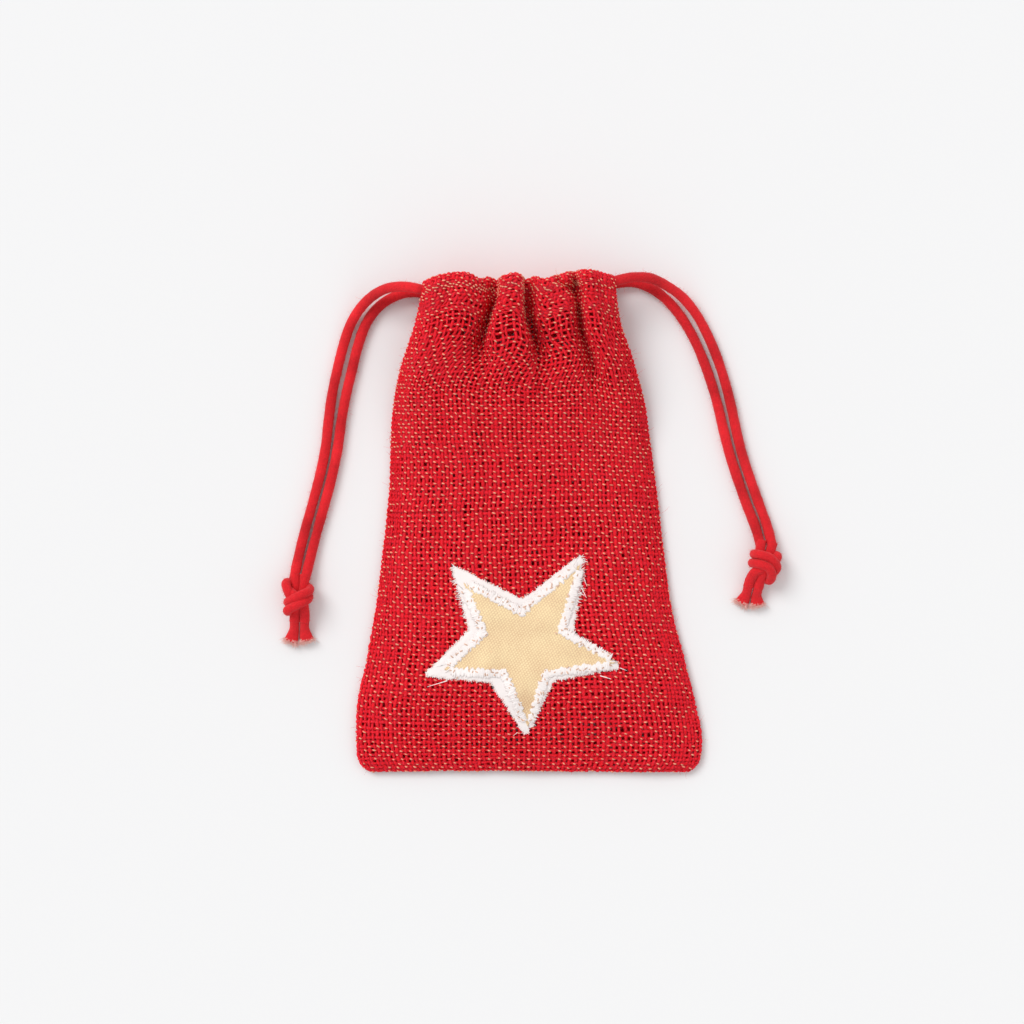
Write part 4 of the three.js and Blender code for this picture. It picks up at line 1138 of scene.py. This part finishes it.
def star_face():
    """Gold star: a fine grid cut to the star's outline, raised into a plain weave, given its thickness below."""
    middle = np.array(STAR_MIDDLE)
    away = np.asarray(FACE_OUTLINE) - middle
    reach = np.linalg.norm(away, axis=1, keepdims=True)
    grown = middle + away * (1 + 1.25 / reach * np.array([[1.6], [0.8]] * 5))
    step = 0.14
    low, high = grown.min(axis=0), grown.max(axis=0)
    x, y = np.meshgrid(np.arange(low[0], high[0], step), np.arange(low[1], high[1], step))
    weave = woven_bump(x * 0.98 - y * 0.2, x * 0.2 + y * 0.98, 0.64, 0.92)
    z = (star_ground(x, y) + 0.64 + 0.13 * weave + 0.04 * slow_noise(x, y, 71, 5) + 0.10 * slow_noise(x, y, 72, 17))
    # The tone is lower towards the bottom tip and the left and right arms
    arm_darkening = smoothstep(-44, -60, y) + 0.35 * smoothstep(-13, -20, x) + 0.3 * smoothstep(12, 19, x)
    # Painted light and shade: the tone follows the weave's relief, lighter on the raised floats and darker between
    # the rows
    tone = 0.22 + 0.75 * weave + 0.08 * slow_noise(x, y, 73, 9) - 0.24 * arm_darkening
    keep = inside_star(grown, (x[:-1, :-1] + x[1:, 1:]) / 2, (y[:-1, :-1] + y[1:, 1:]) / 2)
    number = np.arange(x.size).reshape(x.shape)
    quads = np.stack([number[:-1, :-1], number[:-1, 1:], number[1:, 1:], number[1:, :-1]], -1)[keep]
    used, loops = np.unique(quads.reshape(-1), return_inverse=True)
    points = np.stack([x.ravel(), y.ravel(), z.ravel()], 1)[used]
    piece = new_piece("star_face_cloth", points, loops.reshape(-1), np.arange(len(quads)) * 4,
                      tone=np.clip(tone, 0, 1).ravel()[used])
    thickness = piece.modifiers.new("Thickness", "SOLIDIFY")
    thickness.thickness = 0.22 * MM
    thickness.offset = -1
    finish_piece(piece, "gold_cloth", "gold_cloth", "sack", "star_face")


def star_edge(step):
    """Points at equal steps round the gold star's outline, with smooth outward directions."""
    line, outward = outline_points(FACE_OUTLINE, 200)
    closed, ways = np.vstack([line, line[:1]]), np.vstack([outward, outward[:1]])
    length = np.append(0, np.cumsum(np.linalg.norm(np.diff(closed, axis=0), axis=1)))
    at = np.linspace(0, length[-1], int(length[-1] / step), endpoint=False)
    spot = np.stack([np.interp(at, length, closed[:, k]) for k in range(2)], 1)
    way = unit(np.stack([np.interp(at, length, ways[:, k]) for k in range(2)], 1))
    return spot, way


def star_stitching():
    """White zigzag over the gold star's edge: close, flat, soft threads from inside the edge to outside it."""
    rng = np.random.RandomState(81)
    spot, way = star_edge(0.15)
    count = len(spot)
    tangent = np.stack([-way[:, 1], way[:, 0]], 1)
    wobble = 0.34 * loop_noise(rng, count, 9) + 0.10 * rng.normal(0, 1, count)
    inner, outer = -0.15 + wobble, 2.3 + 0.3 * rng.normal(0, 1, count)
    t = np.linspace(0, 1, 6)[None]
    lean = rng.normal(0, 0.18, (count, 1))
    reach = inner[:, None] + (outer - inner)[:, None] * t
    flat = spot[:, None] + way[:, None] * reach[..., None] + tangent[:, None] * (lean * (t - 0.5))[..., None]
    arch = 0.81 + 0.05 * np.sin(math.pi * t) - 0.22 * t**2 - 0.06 * (1 - t) ** 4 + rng.normal(0, 0.018, (count, 1))
    z = star_ground(flat[..., 0], flat[..., 1]) + arch
    points = np.concatenate([flat, z[..., None]], 2)
    parts = thread_line(points, np.broadcast_to(np.array([0.0, 0.0, 1.0]), points.shape), 0.38, 0.14,
                        rng.uniform(0.5, 0.9, (count, 1)))
    piece = new_piece("star_zigzag", *parts)
    finish_piece(piece, "white_thread", "white_thread", "sack", "star_stitching")


def star_specks():
    """Bits of gold and brown thread that come through the white band, in loose rows along its middle."""
    rng = np.random.RandomState(85)
    spot, way = star_edge(0.8)
    count = len(spot)
    keep = rng.uniform(0, 1, count) < 0.55
    spot, way = spot[keep], way[keep]
    count = len(spot)
    tangent = np.stack([-way[:, 1], way[:, 0]], 1)
    middle = spot + way * (1.0 + rng.normal(0, 0.55, (count, 1))) + tangent * rng.normal(0, 0.3, (count, 1))
    angle = rng.uniform(0, math.tau, count)
    run = np.stack([np.cos(angle), np.sin(angle)], 1)
    half = rng.uniform(0.2, 0.62, (count, 1, 1))
    t = np.linspace(-1, 1, 4)[None, :, None]
    flat = middle[:, None] + run[:, None] * t * half
    z = star_ground(flat[..., 0], flat[..., 1]) + 0.93 - 0.1 * t[..., 0] ** 2
    points = np.concatenate([flat, z[..., None]], 2)
    parts = thread_line(points, np.broadcast_to(np.array([0.0, 0.0, 1.0]), points.shape), 0.42, 0.18,
                        rng.uniform(0.0, 1.0, (count, 1)))
    piece = new_piece("star_specks", *parts)
    finish_piece(piece, "specks", "gold_cloth", "sack")


# ---------------------------------------------------------------------------------------------- cords

def cord_surface(line, diameter, seed, taper=None):
    """Closed tube of a soft cotton cord: a round section whose radius wavers a little along its length."""
    rng = np.random.RandomState(seed)
    line = even_line(line, 0.4)
    waver = 0.025 * yarn_noise(rng, 1, len(line), 9)[0] + 0.012 * yarn_noise(rng, 1, len(line), 3)[0]
    radius = diameter / 2 * (1 + waver)
    if taper is not None:
        radius = radius * np.interp(np.linspace(0, 1, len(line)), *taper)
    tone = np.clip(0.5 + 0.12 * yarn_noise(rng, 1, len(line), 11), 0, 1)
    return line, round_tube(line, radius, 22, 1.0, tone)


def cord_fluff(line, radius, count, seed, length=0.55):
    """Fine fibres that stand off a cord all round it."""
    rng = np.random.RandomState(seed)
    pick = rng.randint(1, len(line) - 1, count)
    tangent = unit(line[pick + 1] - line[pick - 1])
    around = unit(np.cross(tangent, rng.normal(0, 1, (count, 3))))
    way = unit(around * 0.8 + tangent * rng.normal(0, 0.8, (count, 1)))
    roots = line[pick] + around * radius * 0.97
    way[:, 2] = np.where(roots[:, 2] < 0.5, np.abs(way[:, 2]) * 0.2, way[:, 2])
    return hairs(rng, roots, way, rng.gamma(2.0, length / 2.6, count) + 0.12, 0.022, 0.5, points=4)


def knot_lines(side):
    """Middle lines of the two strands in a knot, set along the knot's own line on the floor."""
    place = KNOTS[side]
    entry, leave = np.array(place["entry"]), np.array(place["exit"])
    along_knot = (leave - entry) / np.linalg.norm(leave - entry)
    across = np.array([-along_knot[1], along_knot[0]]) * place["flip"]
    middle = np.array([p for p, _ in KNOT_LINES[side]])
    offset = np.array([o for _, o in KNOT_LINES[side]])
    lines = []
    for sign in (1, -1):
        local = middle + sign * offset
        flat = entry + local[:, :1] * across + local[:, 1:2] * along_knot
        lines.append(np.concatenate([flat, local[:, 2:] + KNOT_Z], 1))
    return lines


def cord_strand(name):
    """One free strand from the mouth to its knot, laid along its route, with its fluff."""
    diameter = sizes().cord / MM
    line, parts = cord_surface(curve_through(ROUTES[name]), diameter, 91 + len(name))
    piece = new_piece(f"{name}_cotton", *parts)
    fluff = new_piece(f"{name}_fluff", *cord_fluff(line, diameter / 2, 2400, 95 + len(name)), smooth=False)
    for made, material in ((piece, "red_cotton"), (fluff, "red_fluff")):
        made.data.materials.append(material_for(material))
        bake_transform(made)
    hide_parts(name)


def knot(side):
    """An overhand knot tied in both strands: two soft tubes wound side by side, a little squeezed."""
    for word, line in zip(("first", "second"), knot_lines(side)):
        path = even_line(curve_through(line, 16), 0.35)
        share = np.linspace(0, 1, len(path))
        waver = 0.03 * yarn_noise(np.random.RandomState(97), 1, len(path), 8)[0]
        radius = 1.5 - 0.14 * np.sin(math.pi * share) ** 4 + waver
        tone = np.full((1, len(path)), 0.5)
        parts = round_tube(path, radius, 20, 1.0, tone)
        piece = new_piece(f"{side}_knot_{word}", *parts)
        finish_piece(piece, "red_cotton", "drawcord", f"{side}_cord_end", f"{side}_knot")
        fluff = new_piece(f"{side}_knot_{word}_fluff", *cord_fluff(path, 1.42, 900, 101 + len(word)), smooth=False)
        finish_piece(fluff, "red_fluff", "drawcord", f"{side}_cord_end")


def tails(side):
    """The two cut ends beyond a knot: each flares and flattens to a frayed end of many short fibres."""
    place = KNOTS[side]
    entry, leave = np.array(place["entry"]), np.array(place["exit"])
    way = (leave - entry) / np.linalg.norm(leave - entry)
    across = np.array([-way[1], way[0]])
    for word, sign in (("outer", 1), ("inner", -1)):
        offset = sign * 1.5
        reach = place["tail"] * (0.92 if sign > 0 else 1.0)
        points = [
            (-2.4, offset, 3.9), (0.2, offset, 3.2), (reach * 0.45, offset * 1.05, 2.1),
            (reach * 0.8, offset + sign * 0.55, 1.65), (reach, offset + sign * 0.95, 1.5),
        ]
        line = np.array([[*(leave + way * a + across * (b + place["lean"])), z] for a, b, z in points])
        line = even_line(curve_through(line), 0.3)
        share = np.linspace(0, 1, len(line))
        radius = 1.42 + 0.65 * smoothstep(0.5, 1.0, share)
        squash = 1 - 0.38 * smoothstep(0.4, 1.0, share)
        line[:, 2] = np.maximum(line[:, 2], radius * squash + 0.02)
        parts = round_tube(line, radius, 22, squash, np.full((1, len(line)), 0.5))
        piece = new_piece(f"{side}_tail_{word}_cotton", *parts)
        finish_piece(piece, "red_cotton", "drawcord", f"{side}_cord_end", f"{side}_tail_{word}")
        rng = np.random.RandomState(111 + sign)
        count = 620
        end, run = line[-1], unit(line[-1] - line[-4])
        side_way = unit(np.cross(run, [0, 0, 1.0]))
        angle, depth = rng.uniform(0, math.tau, count), np.sqrt(rng.uniform(0.05, 1, count))
        spread = (side_way * (np.cos(angle) * depth * 2.0)[:, None]
                  + np.array([0, 0, 1.0]) * (np.sin(angle) * depth * 1.2)[:, None])
        roots = end + spread - run * rng.uniform(0.0, 1.0, (count, 1))
        ways = unit(run + spread * 0.34 + rng.normal(0, 0.25, (count, 3)))
        roots[:, 2] = np.clip(roots[:, 2], 0.12, None)
        ways[:, 2] = np.where(roots[:, 2] < 0.7, np.abs(ways[:, 2]) * 0.15, ways[:, 2])
        parts = hairs(rng, roots, ways, 0.5 + rng.gamma(2.0, 0.24, count), 0.075, 0.4, points=5)
        fluff = new_piece(f"{side}_tail_{word}_fray", *parts, smooth=False)
        finish_piece(fluff, "pale_fluff", "drawcord", f"{side}_cord_end")


def casing_runs(side):
    """The stretch of cord inside the casings: a run in each and half a turn round the far seam head."""
    diameter = sizes().cord / MM
    out = SIDES_OF_SACK[side]
    for run in ("front_run", "back_run"):
        low, high = (np.array(v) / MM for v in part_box(f"{side}_cord_{run}"))
        middle = (low + high) / 2
        x = np.linspace(low[0] - 0.7, high[0] + 0.7, 120)
        leave = ROUTES[f"{side}_cord_upper_strand"][0]
        inwards = smoothstep(0, 5, (leave[0] - x) * out)
        slack = sag_share(x)
        y = leave[1] + (middle[1] - CORD_SHIFT - leave[1]) * inwards
        if run == "front_run":
            line = np.stack([x, y - 0.9 * slack, middle[2] - RUN_SAG * slack], 1)
        else:
            line = np.stack([x, y - BACK_RUN_SHIFT * slack, np.full_like(x, middle[2])], 1)
        ends = ([0, 0.16, 1], [1, 0.9, 0.9]) if out < 0 else ([0, 0.84, 1], [0.9, 0.9, 1])
        _, parts = cord_surface(line, diameter, 121, ends)
        piece = new_piece(f"{side}_cord_{run}_cotton", *parts)
        finish_piece(piece, "red_cotton", "drawcord", f"{side}_drawcord", f"{side}_cord_{run}")
    low, high = (np.array(v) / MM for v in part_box(f"{side}_cord_far_bend"))
    outward = -SIDES_OF_SACK[side]
    radius = (high[2] - low[2] - diameter * 0.92) / 2
    start = low[0] if outward > 0 else high[0]
    angle = np.linspace(math.pi / 2, -math.pi / 2, 40)
    line = np.stack([start + outward * radius * np.cos(angle), np.full(40, (low[1] + high[1]) / 2 - CORD_SHIFT),
                     (low[2] + high[2]) / 2 + radius * np.sin(angle)], 1)
    _, parts = cord_surface(line, diameter * 0.9, 123)
    piece = new_piece(f"{side}_cord_far_bend_cotton", *parts)
    finish_piece(piece, "red_cotton", "drawcord", f"{side}_drawcord", f"{side}_cord_far_bend")


# ---------------------------------------------------------------------------------------------- stage

def camera():
    """Camera straight above the sack, as wide as a hand's breadth round it."""
    data = bpy.data.cameras.new("Camera")
    data.lens = 105.5
    data.sensor_width = 36.0
    made = bpy.data.objects.new("Camera", data)
    made.location = (-0.0051, 0.00255, 0.9)
    bpy.context.collection.objects.link(made)
    bpy.context.scene.camera = made


def floor():
    """Plain pale floor."""
    size = 3.0
    mesh = bpy.data.meshes.new("Floor")
    mesh.from_pydata([(-size, -size, 0), (size, -size, 0), (size, size, 0), (-size, size, 0)], [], [(0, 1, 2, 3)])
    made = bpy.data.objects.new("Floor", mesh)
    bpy.context.collection.objects.link(made)
    material = bpy.data.materials.new("pale_floor")
    material.use_nodes = True
    shader = material.node_tree.nodes["Principled BSDF"]
    shader.inputs["Base Color"].default_value = (0.86, 0.86, 0.865, 1)
    shader.inputs["Roughness"].default_value = 0.7
    shader.inputs["Specular IOR Level"].default_value = 0.2
    mesh.materials.append(material)


def lights():
    """A white sky and one wide soft light from the upper left, even all over the floor."""
    world = bpy.data.worlds.new("Studio")
    world.use_nodes = True
    world.node_tree.nodes["Background"].inputs["Color"].default_value = (1.0, 1.0, 1.0, 1)
    world.node_tree.nodes["Background"].inputs["Strength"].default_value = 0.73
    bpy.context.scene.world = world
    data = bpy.data.lights.new("Key", "SUN")
    data.angle = math.radians(32)
    data.energy = 1.50
    made = bpy.data.objects.new("Key", data)
    made.location = (-1.0, 0.95, 1.45)
    made.rotation_mode = "QUATERNION"
    made.rotation_quaternion = (-Vector(made.location)).to_track_quat("-Z", "Y")
    bpy.context.collection.objects.link(made)
    view = bpy.context.scene.view_settings
    view.view_transform = "Standard"
    view.look = "None"


# ---------------------------------------------------------------------------------------------- operators

class GIFTSACK_OT_stage(bpy.types.Operator):
    """Make the camera, the floor and the lights"""
    bl_idname = "giftsack.stage"
    bl_label = "Stage"

    def execute(self, context):
        camera()
        floor()
        lights()
        return {"FINISHED"}


class GIFTSACK_OT_cords(bpy.types.Operator):
    """Lay the four free strands of the drawcords, with their knots and frayed tails"""
    bl_idname = "giftsack.cords"
    bl_label = "Cords, knots and tails"

    def execute(self, context):
        for side in SIDES_OF_SACK:
            knot(side)
            tails(side)
            for strand in ("upper", "lower"):
                cord_strand(f"{side}_cord_{strand}_strand")
            casing_runs(side)
        return {"FINISHED"}


class GIFTSACK_OT_front(bpy.types.Operator):
    """Weave the front of the sack, folded over at the gathered mouth"""
    bl_idname = "giftsack.front"
    bl_label = "Front cloth"

    def execute(self, context):
        cloth = front_cloth()
        weave_sack_side("front", cloth, 5, ("front_panel", "front_casing"), 1.0)
        cloth_fuzz(cloth, "front", 1, 15)
        casing_stitches("front_casing_stitches", cloth, 139.5, 1, "front_casing_stitching", 17)
        return {"FINISHED"}


class GIFTSACK_OT_back(bpy.types.Operator):
    """Weave the back of the sack"""
    bl_idname = "giftsack.back"
    bl_label = "Back cloth"

    def execute(self, context):
        cloth = back_cloth()
        weave_sack_side("back", cloth, 6, ("back_panel", "back_casing"), 1.04)
        casing_stitches("back_casing_stitches", cloth, cloth.length[-1] - 1.2, 1, "back_casing_stitching", 18)
        return {"FINISHED"}


class GIFTSACK_OT_seams(bpy.types.Operator):
    """Make the seam allowances and the seam heads at the mouth"""
    bl_idname = "giftsack.seams"
    bl_label = "Seams"

    def execute(self, context):
        seam_allowances()
        for side in SIDES_OF_SACK:
            seam_head(side)
        return {"FINISHED"}


class GIFTSACK_OT_star(bpy.types.Operator):
    """Make the white frayed star, the gold star on it and the zigzag that holds them"""
    bl_idname = "giftsack.star"
    bl_label = "Star patch"

    def execute(self, context):
        rim, outward = star_backing()
        star_fringe(rim, outward)
        star_face()
        star_stitching()
        star_specks()
        return {"FINISHED"}


OPERATORS = (GIFTSACK_OT_stage, GIFTSACK_OT_cords, GIFTSACK_OT_front, GIFTSACK_OT_back, GIFTSACK_OT_seams,
             GIFTSACK_OT_star)


class GIFTSACK_PT_panel(bpy.types.Panel):
    """Sidebar panel that lists the sack's sizes, colours and pieces"""
    bl_idname = "GIFTSACK_PT_panel"
    bl_label = "Gift Sack"
    bl_space_type = "VIEW_3D"
    bl_region_type = "UI"
    bl_category = "Gift Sack"

    def draw(self, context):
        for group in (context.scene.gift_sack_sizes, context.scene.gift_sack_colours):
            for name in group.__annotations__:
                self.layout.prop(group, name)
        for operator in OPERATORS:
            self.layout.operator(operator.bl_idname)


CLASSES = (SackSizes, SackColours, *OPERATORS, GIFTSACK_PT_panel)


def register():
    for item in CLASSES:
        bpy.utils.register_class(item)
    bpy.types.Scene.gift_sack_sizes = PointerProperty(type=SackSizes)
    bpy.types.Scene.gift_sack_colours = PointerProperty(type=SackColours)


def unregister():
    del bpy.types.Scene.gift_sack_colours
    del bpy.types.Scene.gift_sack_sizes
    for item in reversed(CLASSES):
        bpy.utils.unregister_class(item)


def main():
    register()
    for operator in OPERATORS:
        group, name = operator.bl_idname.split(".")
        getattr(getattr(bpy.ops, group), name)()


if __name__ == "__main__":
    main()
